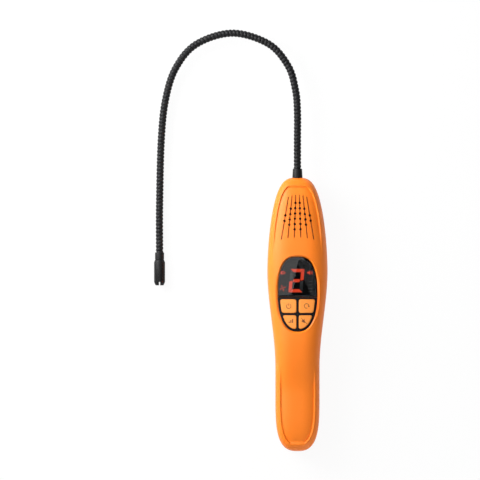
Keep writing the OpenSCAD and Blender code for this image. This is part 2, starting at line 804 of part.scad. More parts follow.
// Gooseneck: rows of points run along one winding, on its crest and in its groove by turns
neck_sides = 10;
rows_per_turn = 2;
bore_steps = 64;
function turn_s(i, j) = neck_pitch * (i / rows_per_turn + j / neck_sides - 1);
function quad(a, b, c, d) = [[a, b, c], [a, c, d]];
function r(i, j) = i * neck_sides + j % neck_sides;
function o(i, j) = r(j < neck_sides ? i : i + rows_per_turn, j);
module gooseneck() color(black) {
    n = rows_per_turn * (ceil(neck_len / neck_pitch) + 2);
    outer = [for (i = [0 : n]) for (j = [0 : neck_sides - 1]) let (
        s = min(neck_len, max(0, turn_s(i, j))),
        inside = s > 0 && s < neck_len,
        r = neck_d / 2 - (inside && i % rows_per_turn == 0 ? groove_d : 0)
    ) on_neck(s, inside ? r : neck_d / 2 - groove_d, 360 * j / neck_sides)];
    bore = [for (i = [0 : bore_steps]) for (j = [0 : neck_sides - 1])
        on_neck(neck_len * i / bore_steps, neck_bore / 2, 360 * j / neck_sides)];
    first = len(outer);
    polyhedron(concat(outer, bore), concat(
        [for (i = [0 : n - 1]) for (j = [0 : neck_sides - 1])
            if (j < neck_sides - 1 || i + rows_per_turn < n)
                each quad(o(i, j), o(i, j + 1), o(i + 1, j + 1), o(i + 1, j))],
        [for (i = [0 : bore_steps - 1]) for (j = [0 : neck_sides - 1])
            each quad(first + r(i, j), first + r(i + 1, j), first + r(i + 1, j + 1), first + r(i, j + 1))],
        [for (j = [0 : neck_sides - 1])
            each quad(r(0, j), first + r(0, j), first + r(0, j + 1), r(0, j + 1))],
        [for (j = [0 : neck_sides - 1])
            each quad(r(n, j), r(n, j + 1), first + r(bore_steps, j + 1), first + r(bore_steps, j))]
    ), convexity = 10);
}

// Lead: from the socket up through the collar and the gooseneck to the sensor
lead_sides = 8;
lead_steps = 70;
lead_past = 2;
lead_room = 0.3;
lead_in = neck_low - board_head + lead_plug - seat_room;
module sensor_lead() color([0.3, 0.3, 0.3]) {
    skin([for (i = [0 : lead_steps]) let (s = between(-lead_in, neck_len + lead_past, i / lead_steps))
        [for (j = [0 : lead_sides - 1]) on_neck(s, lead_d / 2, 360 * j / lead_sides)]]);
}

// Collar: tapered outside, flanged inside the head, bored for the gooseneck and its lead
module neck_collar() color(black)
    along_y(0, 0, neck_z)
        difference() {
            union() {
                translate([0, 0, collar_in_y]) cylinder(d = collar_base_d, h = half_len - collar_in_y);
                translate([0, 0, half_len - eps])
                    cylinder(d1 = collar_base_d, d2 = collar_d, h = collar_len + eps);
                translate([0, 0, flange_y]) cylinder(d = flange_d, h = flange_t);
            }
            translate([0, 0, neck_low - seat_room]) cylinder(d = neck_d + 2 * seat_room, h = far);
            cylinder(d = lead_d + 2 * lead_room, h = far);
        }

// Sensor tip: ferrule, sensor and cap along one axis, towards the tail from the gooseneck's end
spigot_d = 6;
spigot_len = 8;
sensor_base_d = 5.2;
sensor_base_t = 0.8;
ferrule_edge = 0.4;
module along_tip(y) {
    translate([-arch_span, y, tip_z]) rotate([90, 0, 0]) children();
}

module tip_ferrule() color(black)
    along_tip(tip_top_y)
        difference() {
            union() {
                cylinder(d1 = ferrule_d - ferrule_edge, d2 = ferrule_d, h = ferrule_edge + eps);
                translate([0, 0, ferrule_edge]) cylinder(d = ferrule_d, h = ferrule_len - ferrule_edge);
                translate([0, 0, ferrule_len - eps]) cylinder(d = spigot_d, h = spigot_len + eps);
            }
            translate([0, 0, -eps]) cylinder(d = neck_d + 2 * seat_room, h = crimp_len + seat_room + eps);
            cylinder(d = lead_d + 2 * lead_room, h = far);
        }

module sensor_element() color(steel)
    along_tip(tip_top_y - ferrule_len - spigot_len) {
        cylinder(d = sensor_base_d, h = sensor_base_t);
        cylinder(d = sensor_d, h = sensor_len);
    }

cap_shoulder = 1.9;
cap_nose = 2.4;
cap_end_d = 6;
cap_floor = 2.25;
slot_depth = 2.6;
cap_play = 0.2;
module tip_cap() color(black)
    along_tip(tip_top_y - ferrule_len - seat_room)
        difference() {
            union() {
                cylinder(d1 = ferrule_d, d2 = cap_d, h = cap_shoulder + eps);
                translate([0, 0, cap_shoulder]) cylinder(d = cap_d, h = cap_len - cap_shoulder - cap_nose);
                translate([0, 0, cap_len - cap_nose - eps])
                    cylinder(d1 = cap_d, d2 = cap_end_d, h = cap_nose);
            }
            translate([0, 0, -eps]) cylinder(d = spigot_d + 2 * cap_play, h = cap_len - cap_floor + eps);
            translate([-cap_slot / 2, -cap_d, cap_len - slot_depth]) cube([cap_slot, 2 * cap_d, far]);
        }

front_shell();
rear_shell();
battery_door();
case_screws();
display_window();
key_frame();
key(0);  // key_power
key(1);  // key_reset
key(2);  // key_level
key(3);  // key_mute
key_switch(0);  // switch_power
key_switch(1);  // switch_reset
key_switch(2);  // switch_level
key_switch(3);  // switch_mute
digit_display();
circuit_board();
board_screws();
sounder();
sensor_driver();
controller_chip();
lead_socket();
cell(-1);  // battery_left
cell(1);  // battery_right
contact_plus();
contact_minus();
contact_bridge();
spring_left();
spring_right();
neck_collar();
gooseneck();
sensor_lead();
tip_ferrule();
sensor_element();
tip_cap();
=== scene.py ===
# %% [markdown]
# # A hand-held refrigerant leak detector
# An orange grip housing of two mouldings carries a sounder vent, a smoked window with one lit digit
# and four keys. A black wound gooseneck rises from its head, arches over and comes down to a slotted
# sensor tip. The CAD frame already holds every solid at its real size and place. This lesson dresses
# it: the moulded, turned and wound pieces are made again at a finer step from the same sizes, and
# every piece gets its finish. The pieces' sizes below are in millimetres, and what shaders, lamps and
# the camera take is in metres. The axes are the frame's own: X across the housing, Y from tail to
# head, Z up out of the display.

# %% Start from the frame
import math

import bmesh
import bpy
import numpy as np
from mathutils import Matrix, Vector


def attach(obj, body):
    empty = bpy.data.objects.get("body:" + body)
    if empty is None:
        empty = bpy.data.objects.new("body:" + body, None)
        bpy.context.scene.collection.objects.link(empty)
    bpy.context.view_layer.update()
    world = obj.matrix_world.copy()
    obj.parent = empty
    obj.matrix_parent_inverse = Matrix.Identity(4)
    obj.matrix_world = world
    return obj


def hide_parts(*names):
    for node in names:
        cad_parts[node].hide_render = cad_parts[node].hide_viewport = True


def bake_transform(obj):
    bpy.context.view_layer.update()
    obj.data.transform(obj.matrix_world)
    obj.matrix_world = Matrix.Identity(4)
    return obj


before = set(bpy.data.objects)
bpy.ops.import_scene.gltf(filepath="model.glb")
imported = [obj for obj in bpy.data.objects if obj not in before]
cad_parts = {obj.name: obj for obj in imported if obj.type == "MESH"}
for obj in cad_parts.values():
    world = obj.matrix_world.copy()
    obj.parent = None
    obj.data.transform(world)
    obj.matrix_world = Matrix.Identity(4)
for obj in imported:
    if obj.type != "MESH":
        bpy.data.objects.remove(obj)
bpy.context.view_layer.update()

MM = 0.001

# %% [markdown]
# ## Mesh helpers
# Most pieces here are rings of points joined into a closed skin, the way a boat is planked over its
# frames. One helper makes a mesh from points and faces, one skins a list of rings, one turns the faces
# outwards, and one marks the creases: every face is shaded smooth, and only edges that really turn a
# corner stay sharp.

# %% Make, skin and crease
CREASE = math.radians(32)
MERGE = 1e-7


def linked(name, data):
    piece = bpy.data.objects.new(name, data)
    bpy.context.scene.collection.objects.link(piece)
    return piece


def made(name, points, faces):
    mesh = bpy.data.meshes.new(name)
    mesh.from_pydata([tuple(c * MM for c in p) for p in points], [], faces)
    mesh.validate()
    return linked(name, mesh)


def bands(rows, n, closed=False):
    """Faces between neighbouring rows of n points, and from the last row to the first if closed."""
    faces = []
    for i in range(rows if closed else rows - 1):
        here, there = i * n, (i + 1) % rows * n
        for j in range(n):
            k = (j + 1) % n
            faces.append((here + j, here + k, there + k, there + j))
    return faces


def skinned(name, rings):
    n, last = len(rings[0]), len(rings) - 1
    points = [p for ring in rings for p in ring]
    low_cap, high_cap = range(n - 1, -1, -1), range(last * n, last * n + n)
    return made(name, points, bands(len(rings), n) + [tuple(low_cap), tuple(high_cap)])


def creased(piece):
    work = bmesh.new()
    work.from_mesh(piece.data)
    bmesh.ops.remove_doubles(work, verts=work.verts, dist=MERGE)
    bmesh.ops.dissolve_degenerate(work, edges=work.edges, dist=MERGE)
    for face in work.faces:
        face.smooth = True
    for edge in work.edges:
        edge.smooth = len(edge.link_faces) == 2 and edge.calc_face_angle(0) < CREASE
    work.to_mesh(piece.data)
    work.free()
    return piece


def outwards(piece):
    work = bmesh.new()
    work.from_mesh(piece.data)
    bmesh.ops.remove_doubles(work, verts=work.verts, dist=MERGE)
    bmesh.ops.recalc_face_normals(work, faces=work.faces)
    work.to_mesh(piece.data)
    work.free()
    return piece


print("edges that turn by more than", round(math.degrees(CREASE)), "degrees stay sharp")

# %% [markdown]
# ## Carving
# Pockets, slots, screw holes and the bay are cut the way a toolmaker cuts them: a solid of the empty
# space is taken away from the moulding. Weaving each opening into the rings would give tidier faces,
# but a change of size would break it. Blender's exact Boolean takes any size, and its result is
# written back as a plain mesh, so that no modifier is left on a finished piece. PAST is how far a
# cutter reaches past what it cuts.

# %% Carve one mesh with others
SOLVER = "EXACT"
PAST = 1


def plain_mesh(piece):
    graph = bpy.context.evaluated_depsgraph_get()
    return bpy.data.meshes.new_from_object(piece.evaluated_get(graph))


def carved(piece, operation, *tools):
    for tool in tools:
        step = piece.modifiers.new("carve", "BOOLEAN")
        step.operation = operation
        step.solver = SOLVER
        step.object = tool
    mesh = plain_mesh(piece)
    piece.modifiers.clear()
    piece.data = mesh
    for tool in tools:
        bpy.data.objects.remove(tool)
    return piece


def block(name, low, high):
    xs, ys, zs = zip(low, high)
    points = [(x, y, z) for z in zs for y in ys for x in xs]
    faces = [(0, 2, 3, 1), (4, 5, 7, 6), (0, 1, 5, 4), (2, 6, 7, 3), (0, 4, 6, 2), (1, 3, 7, 5)]
    return made(name, points, faces)


def prism(name, outline, low, high):
    return skinned(name, [[(x, y, low) for x, y in outline], [(x, y, high) for x, y in outline]])


print("carving solver:", SOLVER)

# %% [markdown]
# ## Geometry Nodes: a swept and wound tube
# The gooseneck is a spring-like winding round a bent path. A screw modifier can't follow a path, and
# modelling each turn by hand is hopeless, so a small node tree does it: it sweeps a circle along a
# path and then pulls the surface in by a round-wire profile whose phase climbs by one turn for every
# pitch along the path. With no groove depth the same tree is a plain round tube, which is what the
# sensor lead needs. The flat end caps have many corners, and only faces with fewer are shaded smooth.

# %% Tree: wound_tube
def tree_of(name, inputs):
    tree = bpy.data.node_groups.new(name, "GeometryNodeTree")
    tree.interface.new_socket("Geometry", in_out="INPUT", socket_type="NodeSocketGeometry")
    sockets = {}
    for label, kind in inputs:
        sockets[label] = tree.interface.new_socket(label, in_out="INPUT", socket_type=kind).identifier
    tree.interface.new_socket("Geometry", in_out="OUTPUT", socket_type="NodeSocketGeometry")
    return tree, sockets


def node(tree, kind, links=(), **settings):
    made_node = tree.nodes.new(kind)
    for key, value in settings.items():
        setattr(made_node, key, value)
    for socket, source in links:
        target = made_node.inputs[socket]
        if isinstance(source, bpy.types.NodeSocket):
            tree.links.new(source, target)
        else:
            target.default_value = source
    return made_node


def math_node(tree, operation, *values):
    return node(tree, "ShaderNodeMath", enumerate(values), operation=operation).outputs[0]


def vector_math(tree, operation, *values):
    return node(tree, "ShaderNodeVectorMath", values, operation=operation).outputs[0]


def stored(tree, geometry, label, value, kind="FLOAT"):
    parts = [("Geometry", geometry), ("Name", label)]
    step = node(tree, "GeometryNodeStoreNamedAttribute", parts, data_type=kind)
    tree.links.new(value, step.inputs["Value"])
    return step.outputs[0]


def recalled(tree, label, kind="FLOAT"):
    return node(tree, "GeometryNodeInputNamedAttribute", [("Name", label)], data_type=kind).outputs[0]


def ended(tree, geometry, finish):
    """Every tree ends alike, in real geometry with its finish on."""
    real = node(tree, "GeometryNodeRealizeInstances", [("Geometry", geometry)]).outputs[0]
    dressed = node(tree, "GeometryNodeSetMaterial", [("Geometry", real), ("Material", finish)]).outputs[0]
    tree.links.new(dressed, tree.nodes.new("NodeGroupOutput").inputs[0])


SIDE_CORNERS = 4.5


def wound_tube_tree():
    tree, sockets = tree_of("wound_tube", [
        ("Path", "NodeSocketObject"), ("Radius", "NodeSocketFloat"), ("Groove", "NodeSocketFloat"),
        ("Pitch", "NodeSocketFloat"), ("Start", "NodeSocketFloat"), ("Rows", "NodeSocketInt"),
        ("Sides", "NodeSocketInt"), ("Finish", "NodeSocketMaterial"),
    ])
    given = tree.nodes.new("NodeGroupInput").outputs
    place = tree.nodes.new("GeometryNodeInputPosition").outputs[0]
    path = node(tree, "GeometryNodeObjectInfo", [("Object", given["Path"])]).outputs["Geometry"]
    path = node(tree, "GeometryNodeSetCurveNormal", [("Curve", path)], mode="Z_UP").outputs[0]
    path = node(tree, "GeometryNodeResampleCurve", [("Curve", path), ("Count", given["Rows"])]).outputs[0]
    length = tree.nodes.new("GeometryNodeSplineParameter").outputs["Length"]
    path = stored(tree, path, "run", math_node(tree, "ADD", length, given["Start"]))
    path = stored(tree, path, "axis", place, "FLOAT_VECTOR")
    ring = node(tree, "GeometryNodeCurvePrimitiveCircle", [
        ("Resolution", given["Sides"]), ("Radius", given["Radius"])]).outputs[0]
    index = tree.nodes.new("GeometryNodeInputIndex").outputs[0]
    ring = stored(tree, ring, "turn", math_node(tree, "DIVIDE", index, given["Sides"]))
    tube = node(tree, "GeometryNodeCurveToMesh", [
        ("Curve", path), ("Profile Curve", ring), ("Fill Caps", True)]).outputs[0]
    turns = math_node(tree, "DIVIDE", recalled(tree, "run"), given["Pitch"])
    phase = math_node(tree, "SUBTRACT", turns, recalled(tree, "turn"))
    wire = math_node(tree, "MULTIPLY_ADD", math_node(tree, "FRACT", phase), 2.0, -1.0)
    bulge = math_node(tree, "SQRT", math_node(tree, "SUBTRACT", 1.0, math_node(tree, "POWER", wire, 2.0)))
    depth = math_node(tree, "MULTIPLY", math_node(tree, "SUBTRACT", bulge, 1.0), given["Groove"])
    out = vector_math(tree, "SUBTRACT", (0, place), (1, recalled(tree, "axis", "FLOAT_VECTOR")))
    out = vector_math(tree, "NORMALIZE", (0, out))
    shift = vector_math(tree, "SCALE", (0, out), ("Scale", depth))
    tube = node(tree, "GeometryNodeSetPosition", [("Geometry", tube), ("Offset", shift)]).outputs[0]
    for label in ("run", "axis", "turn"):
        tube = node(tree, "GeometryNodeRemoveAttribute", [("Geometry", tube), ("Name", label)]).outputs[0]
    corners = tree.nodes.new("GeometryNodeInputMeshFaceNeighbors").outputs["Vertex Count"]
    side = math_node(tree, "LESS_THAN", corners, SIDE_CORNERS)
    tube = node(tree, "GeometryNodeSetShadeSmooth", [("Geometry", tube), ("Shade Smooth", side)]).outputs[0]
    ended(tree, tube, given["Finish"])
    return tree, sockets


WOUND_TUBE = wound_tube_tree()
print("tree:", WOUND_TUBE[0].name, "with", len(WOUND_TUBE[0].nodes), "nodes")

# %% [markdown]
# ## Geometry Nodes: one piece, many places
# Screws, vent holes and thumb ribs are one shape each, repeated. The second tree puts a piece on
# every point of a carrier mesh, realises the copies, since an export drops instances, and sets the
# finish. A carrier mesh is only a list of places and is thrown away afterwards.

# %% Tree: piece_on_places, and the helper that runs a tree
def piece_on_places_tree():
    tree, sockets = tree_of("piece_on_places", [
        ("Piece", "NodeSocketObject"), ("Finish", "NodeSocketMaterial")])
    given = tree.nodes.new("NodeGroupInput").outputs
    piece = node(tree, "GeometryNodeObjectInfo", [("Object", given["Piece"]), ("As Instance", True)])
    copies = node(tree, "GeometryNodeInstanceOnPoints", [
        ("Points", given["Geometry"]), ("Instance", piece.outputs["Geometry"])]).outputs[0]
    ended(tree, copies, given["Finish"])
    return tree, sockets


PIECE_ON_PLACES = piece_on_places_tree()


def grown(name, recipe, places=(), **inputs):
    """A plain mesh piece from a node tree: its inputs are set by socket identifier before it first runs."""
    tree, sockets = recipe
    carrier = made(name + "_carrier", list(places), [])
    step = carrier.modifiers.new(tree.name, "NODES")
    step.node_group = tree
    for label, value in inputs.items():
        step[sockets[label]] = value
    mesh = plain_mesh(carrier)
    carrier.modifiers.remove(step)
    bpy.data.objects.remove(carrier)
    return linked(name, mesh)


def path_of(name, points):
    line = bpy.data.curves.new(name, "CURVE")
    line.dimensions = "3D"
    spline = line.splines.new("POLY")
    spline.points.add(len(points) - 1)
    for point, place in zip(spline.points, points):
        point.co = (place[0] * MM, place[1] * MM, place[2] * MM, 1)
    return linked(name, line)


def tube(name, points, radius, rows, sides, finish, groove=0.0, pitch=1.0, start=0.0):
    path = path_of(name + "_path", points)
    piece = grown(name, WOUND_TUBE, Path=path, Radius=radius * MM, Groove=groove * MM, Pitch=pitch * MM,
                  Start=start * MM, Rows=rows, Sides=sides, Finish=finish)
    bpy.data.objects.remove(path)
    return piece


def repeated(name, piece, places, finish=None):
    copies = grown(name, PIECE_ON_PLACES, places, Piece=piece, Finish=finish)
    bpy.data.objects.remove(piece)
    return copies


print("tree:", PIECE_ON_PLACES[0].name, "with", len(PIECE_ON_PLACES[0].nodes), "nodes")

# %% [markdown]
# ## Shared finish effects
# Moulded plastic is never one flat colour. The tool it was made in leaves a fine spark-eroded grain,
# the pigment clouds a little, and hands polish it in places. Two node groups hold those effects, so
# that the orange, the keys and the black mouldings can share them with their own strengths.

# %% Groups: moulding_grain and handling_polish
GRAIN_SCALE, CLOUD_SCALE, PATCH_SCALE = 2200.0, 45.0, 30.0


def group_of(name, inputs, outputs):
    group = bpy.data.node_groups.new(name, "ShaderNodeTree")
    for label, kind, value in inputs:
        socket = group.interface.new_socket(label, in_out="INPUT", socket_type=kind)
        if value is not None:
            socket.default_value = value
    for label in outputs:
        group.interface.new_socket(label, in_out="OUTPUT", socket_type="NodeSocketFloat")
    return group, group.nodes.new("NodeGroupInput").outputs, group.nodes.new("NodeGroupOutput").inputs


def noise(tree, place, scale, detail, roughness=0.5):
    return node(tree, "ShaderNodeTexNoise", [
        ("Vector", place), ("Scale", scale), ("Detail", detail), ("Roughness", roughness)]).outputs[0]


def ranged(tree, value, *limits):
    return node(tree, "ShaderNodeMapRange", [("Value", value), *limits]).outputs[0]


def moulding_grain_group():
    group, given, result = group_of("moulding_grain", [
        ("Vector", "NodeSocketVector", None), ("Grain Scale", "NodeSocketFloat", GRAIN_SCALE),
        ("Cloud Scale", "NodeSocketFloat", CLOUD_SCALE)], ["Grain", "Cloud"])
    group.links.new(noise(group, given["Vector"], given["Grain Scale"], 3.0, 0.6), result["Grain"])
    group.links.new(noise(group, given["Vector"], given["Cloud Scale"], 2.0), result["Cloud"])
    return group


def handling_polish_group():
    group, given, result = group_of("handling_polish", [
        ("Vector", "NodeSocketVector", None), ("Patch Scale", "NodeSocketFloat", PATCH_SCALE),
        ("Dull", "NodeSocketFloat", 0.5), ("Polished", "NodeSocketFloat", 0.4)], ["Roughness"])
    patch = noise(group, given["Vector"], given["Patch Scale"], 4.0, 0.65)
    spread = ranged(group, patch, ("From Min", 0.3), ("From Max", 0.7),
                    ("To Min", given["Polished"]), ("To Max", given["Dull"]))
    group.links.new(spread, result["Roughness"])
    return group


MOULDING_GRAIN = moulding_grain_group()
HANDLING_POLISH = handling_polish_group()
print("groups:", MOULDING_GRAIN.name, HANDLING_POLISH.name)

# %% [markdown]
# ## Moulded finishes
# One function makes every moulded plastic. The cloud drives a small shift between two near colours,
# the polish drives the roughness and the grain drives a shallow bump. Object coordinates keep the
# grain at its real size, a fraction of a millimetre, on every piece. The orange also reads a face
# attribute that marks the vent's slots and holes, and there it mixes in painted shade, with a little
# dust in the slots.

# %% Moulded plastics
SHADE = "shade"
GRAIN_DEPTH = 0.0002


def finish_of(name):
    finish = bpy.data.materials.new(name)
    finish.use_nodes = True
    tree = finish.node_tree
    shader = tree.nodes["Principled BSDF"]
    place = tree.nodes.new("ShaderNodeTexCoord").outputs["Object"]
    return finish, tree, shader, place


def mixed(tree, share, one, other):
    parts = [("Factor", share), ("A", one), ("B", other)]
    return node(tree, "ShaderNodeMix", parts, data_type="RGBA").outputs["Result"]


def polish_over(tree, place, shader, dull, polished, patch_scale=PATCH_SCALE):
    polish = node(tree, "ShaderNodeGroup", node_tree=HANDLING_POLISH)
    for label, value in (("Patch Scale", patch_scale), ("Dull", dull), ("Polished", polished)):
        polish.inputs[label].default_value = value
    tree.links.new(place, polish.inputs["Vector"])
    tree.links.new(polish.outputs["Roughness"], shader.inputs["Roughness"])


def moulded(name, light, deep, dull, polished, bump=0.06, gloss=0.5, shade=None):
    finish, tree, shader, place = finish_of(name)
    grain = node(tree, "ShaderNodeGroup", node_tree=MOULDING_GRAIN)
    tree.links.new(place, grain.inputs["Vector"])
    colour = mixed(tree, grain.outputs["Cloud"], (*light, 1), (*deep, 1))
    if shade:
        mark = node(tree, "ShaderNodeAttribute", attribute_name=SHADE).outputs["Fac"]
        colour = mixed(tree, mark, colour, (*shade, 1))
    tree.links.new(colour, shader.inputs["Base Color"])
    polish_over(tree, place, shader, dull, polished)
    relief = node(tree, "ShaderNodeBump", [
        ("Height", grain.outputs["Grain"]), ("Strength", bump), ("Distance", GRAIN_DEPTH)])
    tree.links.new(relief.outputs["Normal"], shader.inputs["Normal"])
    shader.inputs["Specular IOR Level"].default_value = gloss
    return finish


# Its shade colour is painted shade in the vent's slots and holes, with a little dust in the slots.
ORANGE = moulded("orange_moulding", (0.965, 0.22, 0.008), (0.93, 0.2, 0.005), 0.56, 0.48,
                 bump=0.08, gloss=0.42, shade=(0.05, 0.014, 0.004))
KEY_ORANGE = moulded("key_moulding", (0.95, 0.31, 0.045), (0.92, 0.285, 0.035), 0.5, 0.42)
BLACK = moulded("black_moulding", (0.009, 0.009, 0.0095), (0.013, 0.013, 0.0135), 0.5, 0.38, gloss=0.15)
COMPONENT = moulded("component_body", (0.02, 0.02, 0.022), (0.03, 0.03, 0.032), 0.6, 0.5)
IVORY = moulded("socket_plastic", (0.7, 0.66, 0.55), (0.66, 0.61, 0.5), 0.55, 0.45)
SHEATH = moulded("lead_sheath", (0.05, 0.05, 0.052), (0.06, 0.06, 0.062), 0.6, 0.5)
LEGEND = moulded("legend_ink", (0.16, 0.045, 0.012), (0.2, 0.06, 0.016), 0.6, 0.5, bump=0.03)
print("moulded finishes:", [m.name for m in (ORANGE, KEY_ORANGE, BLACK, COMPONENT, IVORY, SHEATH, LEGEND)])

# %% [markdown]
# ## Metal
# The gooseneck's steel wire has a black coat that rubs grey in places. Screws and contacts are plated
# steel with fine drawn lines. Lines could be a bump, but at this size they would only flicker, so a
# noise that is stretched along Y shifts the tone and the roughness a little instead.

# %% Coated wire and plated steel
def coated_wire():
    finish, tree, shader, place = finish_of("neck_coat")
    tone = node(tree, "ShaderNodeValToRGB", [(0, noise(tree, place, 700.0, 5.0, 0.7))])
    coat, rubbed = tone.color_ramp.elements
    coat.position, rubbed.position = 0.45, 0.8
    coat.color, rubbed.color = (0.011, 0.011, 0.012, 1), (0.03, 0.03, 0.031, 1)
    tree.links.new(tone.outputs[0], shader.inputs["Base Color"])
    polish_over(tree, place, shader, 0.5, 0.36, 90.0)
    shader.inputs["Specular IOR Level"].default_value = 0.13
    return finish


def plated_steel():
    finish, tree, shader, place = finish_of("plated_steel")
    stretch = node(tree, "ShaderNodeMapping", [("Vector", place), ("Scale", (1.0, 0.08, 1.0))]).outputs[0]
    lines = noise(tree, stretch, 6000.0, 2.0)
    tone = mixed(tree, lines, (0.62, 0.63, 0.64, 1), (0.5, 0.505, 0.51, 1))
    tree.links.new(tone, shader.inputs["Base Color"])
    tree.links.new(ranged(tree, lines, ("To Min", 0.22), ("To Max", 0.4)), shader.inputs["Roughness"])
    shader.inputs["Metallic"].default_value = 1.0
    return finish


NECK_COAT = coated_wire()
STEEL = plated_steel()
print("metal finishes:", NECK_COAT.name, STEEL.name)

# %% [markdown]
# ## Board and cells
# These show only when the door is off. The board has green resist over its tracks, and each cell wears
# a sleeve of two plain bands. Real tracks could be modelled, but nobody would see them, so a brick
# pattern hints at them, and the bands follow from the place along Y.

# %% Board resist and cell sleeve
def board_resist():
    finish, tree, shader, place = finish_of("board_resist")
    tracks = node(tree, "ShaderNodeTexBrick", [
        ("Vector", place), ("Scale", 260.0), ("Mortar Size", 0.04), ("Color1", (0.02, 0.13, 0.045, 1)),
        ("Color2", (0.018, 0.115, 0.04, 1)), ("Mortar", (0.035, 0.2, 0.075, 1))])
    tree.links.new(tracks.outputs["Color"], shader.inputs["Base Color"])
    shader.inputs["Roughness"].default_value = 0.3
    return finish


SLEEVE_FROM, SLEEVE_TO = -100 * MM, -40 * MM


def cell_sleeve():
    finish, tree, shader, place = finish_of("cell_sleeve")
    along = node(tree, "ShaderNodeSeparateXYZ", [(0, place)]).outputs[1]
    share = ranged(tree, along, ("From Min", SLEEVE_FROM), ("From Max", SLEEVE_TO))
    tone = node(tree, "ShaderNodeValToRGB", [(0, share)])
    tone.color_ramp.interpolation = "CONSTANT"
    green, black = tone.color_ramp.elements
    black.position = 0.5
    green.color, black.color = (0.03, 0.16, 0.07, 1), (0.02, 0.02, 0.022, 1)
    tree.links.new(tone.outputs[0], shader.inputs["Base Color"])
    shader.inputs["Roughness"].default_value = 0.28
    return finish


BOARD = board_resist()
CELL = cell_sleeve()
print("board and cells:", BOARD.name, CELL.name)

# %% [markdown]
# ## Window and light
# The window is smoked acrylic: a clear, dark, glossy body that lets the lit segments through and hides
# what isn't lit. A volume could do the smoking, but a grey tint on a clear shader renders with less
# noise and exports better. Segments that are lit give off their own light, a little uneven. Unlit
# segments and level bars get a faint painted glow, so that they read grey behind the window.

# %% Smoked window and light segments
def smoked_window():
    finish, tree, shader, place = finish_of("smoked_window")
    haze = noise(tree, place, 120.0, 3.0)
    tree.links.new(ranged(tree, haze, ("To Min", 0.004), ("To Max", 0.012)), shader.inputs["Roughness"])
    shader.inputs["Base Color"].default_value = (0.3, 0.31, 0.32, 1)
    shader.inputs["Transmission Weight"].default_value = 1.0
    shader.inputs["IOR"].default_value = 1.49
    return finish


GLOW_LEAST = 0.85
RED, RED_BASE = (1.0, 0.075, 0.025), (0.2, 0.02, 0.01)


def lit(name, colour, strength, base):
    finish, tree, shader, place = finish_of(name)
    waned = [c * GLOW_LEAST for c in colour]
    tone = mixed(tree, noise(tree, place, 160.0, 1.0), (*colour, 1), (*waned, 1))
    tree.links.new(tone, shader.inputs["Emission Color"])
    shader.inputs["Emission Strength"].default_value = strength
    shader.inputs["Base Color"].default_value = (*base, 1)
    shader.inputs["Roughness"].default_value = 0.6
    return finish


WINDOW = smoked_window()
LIT = lit("lit_segment", RED, 2.3, RED_BASE)
DIM = lit("dim_sign", RED, 2.2, RED_BASE)
# Unlit segments get a faint painted glow, in place of the light they would catch.
UNLIT_PAINTED_GLOW = lit("unlit_segment_painted_glow", (0.5, 0.5, 0.5), 0.12, (0.1, 0.1, 0.1))
DIGIT_FACE = moulded("digit_face", (0.008, 0.008, 0.009), (0.011, 0.011, 0.012), 0.6, 0.5, bump=0.02)
print("finishes:", len(bpy.data.materials))

# %% [markdown]
# ## The housing's outline
# The housing is wide at the display and slim at the grip, and both ends are rounded. Its half width
# and its height are smooth functions of the place along Y, with powers that set how full the ends
# are. The front face is hollowed a little inside a rim, at the head and on the grip, and the hollow
# fades out towards the display. A traced outline would be a long list of points, and these rules need
# a few numbers only. They come first, and the meshes follow from them.

# %% Outline rules
HALF_LEN = 103.5
BODY_W, GRIP_W = 45.59, 33.4
SPLIT_H, FRONT_H, GRIP_H, BACK_CUT = 15.0, 16.94, 13.0, 0.4
WALL = 2.2
WIDE_Y, WAIST_Y, TAIL_ROUND = 33.0, -40.0, 44.0
LOW_FROM_Y, LOW_RUN = -16.0, 46.0
FRONT_N, REAR_N = 3.0, 4.0
RIM_W, RIM_END, HOLLOW, STEP_W = 4.6, 5.6, 1.5, 1.25
HEAD_STEP, TAIL_STEP = (95.5, 97.9), (95.6, 98.9)
HEAD_FADE, TAIL_FADE = (38, 34), (34, 26)
HOLLOW_LEAST, RIM_MOST, FLAT_LEAST = 0.42, 0.97, 0.15
HEAD_PLAN, TAIL_PLAN = (1.7, 3.3), (3.8, 2.7)
HEAD_TOP, TAIL_TOP = (3.2, 2.6), (5.0, 2.6)
HEAD_BACK, TAIL_BACK = (3.4, 2.6), (5.5, 2.6)


def smooth(t):
    t = np.clip(t, 0, 1)
    return t * t * (3 - 2 * t)


def round_end(u, power, root):
    return np.maximum(0, 1 - np.clip(u, 0, 1) ** power) ** (1 / root)


def head_u(y):
    return (y - WIDE_Y) / (HALF_LEN - WIDE_Y)


def tail_u(y):
    return (TAIL_ROUND - HALF_LEN - y) / TAIL_ROUND


def half_width(y):
    full = BODY_W + (GRIP_W - BODY_W) * smooth((WIDE_Y - y) / (WIDE_Y - WAIST_Y))
    return full / 2 * round_end(head_u(y), *HEAD_PLAN) * round_end(tail_u(y), *TAIL_PLAN)


def front_rise(y):
    full = FRONT_H + (GRIP_H - FRONT_H) * smooth((LOW_FROM_Y - y) / LOW_RUN)
    return full * round_end(head_u(y), *HEAD_TOP) * round_end(tail_u(y), *TAIL_TOP)


def rear_drop(y):
    full = SPLIT_H + BACK_CUT
    return full * round_end(head_u(y), *HEAD_BACK) * round_end(tail_u(y), *TAIL_BACK)


def arch(x, a, b, n):
    return b * np.maximum(0, 1 - np.minimum(1, np.abs(x) / a) ** n) ** (1 / n)


def hollow_width(y):
    side = BODY_W / 2 if y > 0 else GRIP_W / 2
    inside = half_width(y * HALF_LEN / (HALF_LEN - RIM_END)) * (1 - RIM_W / side)
    return max(HOLLOW_LEAST * half_width(y), inside)


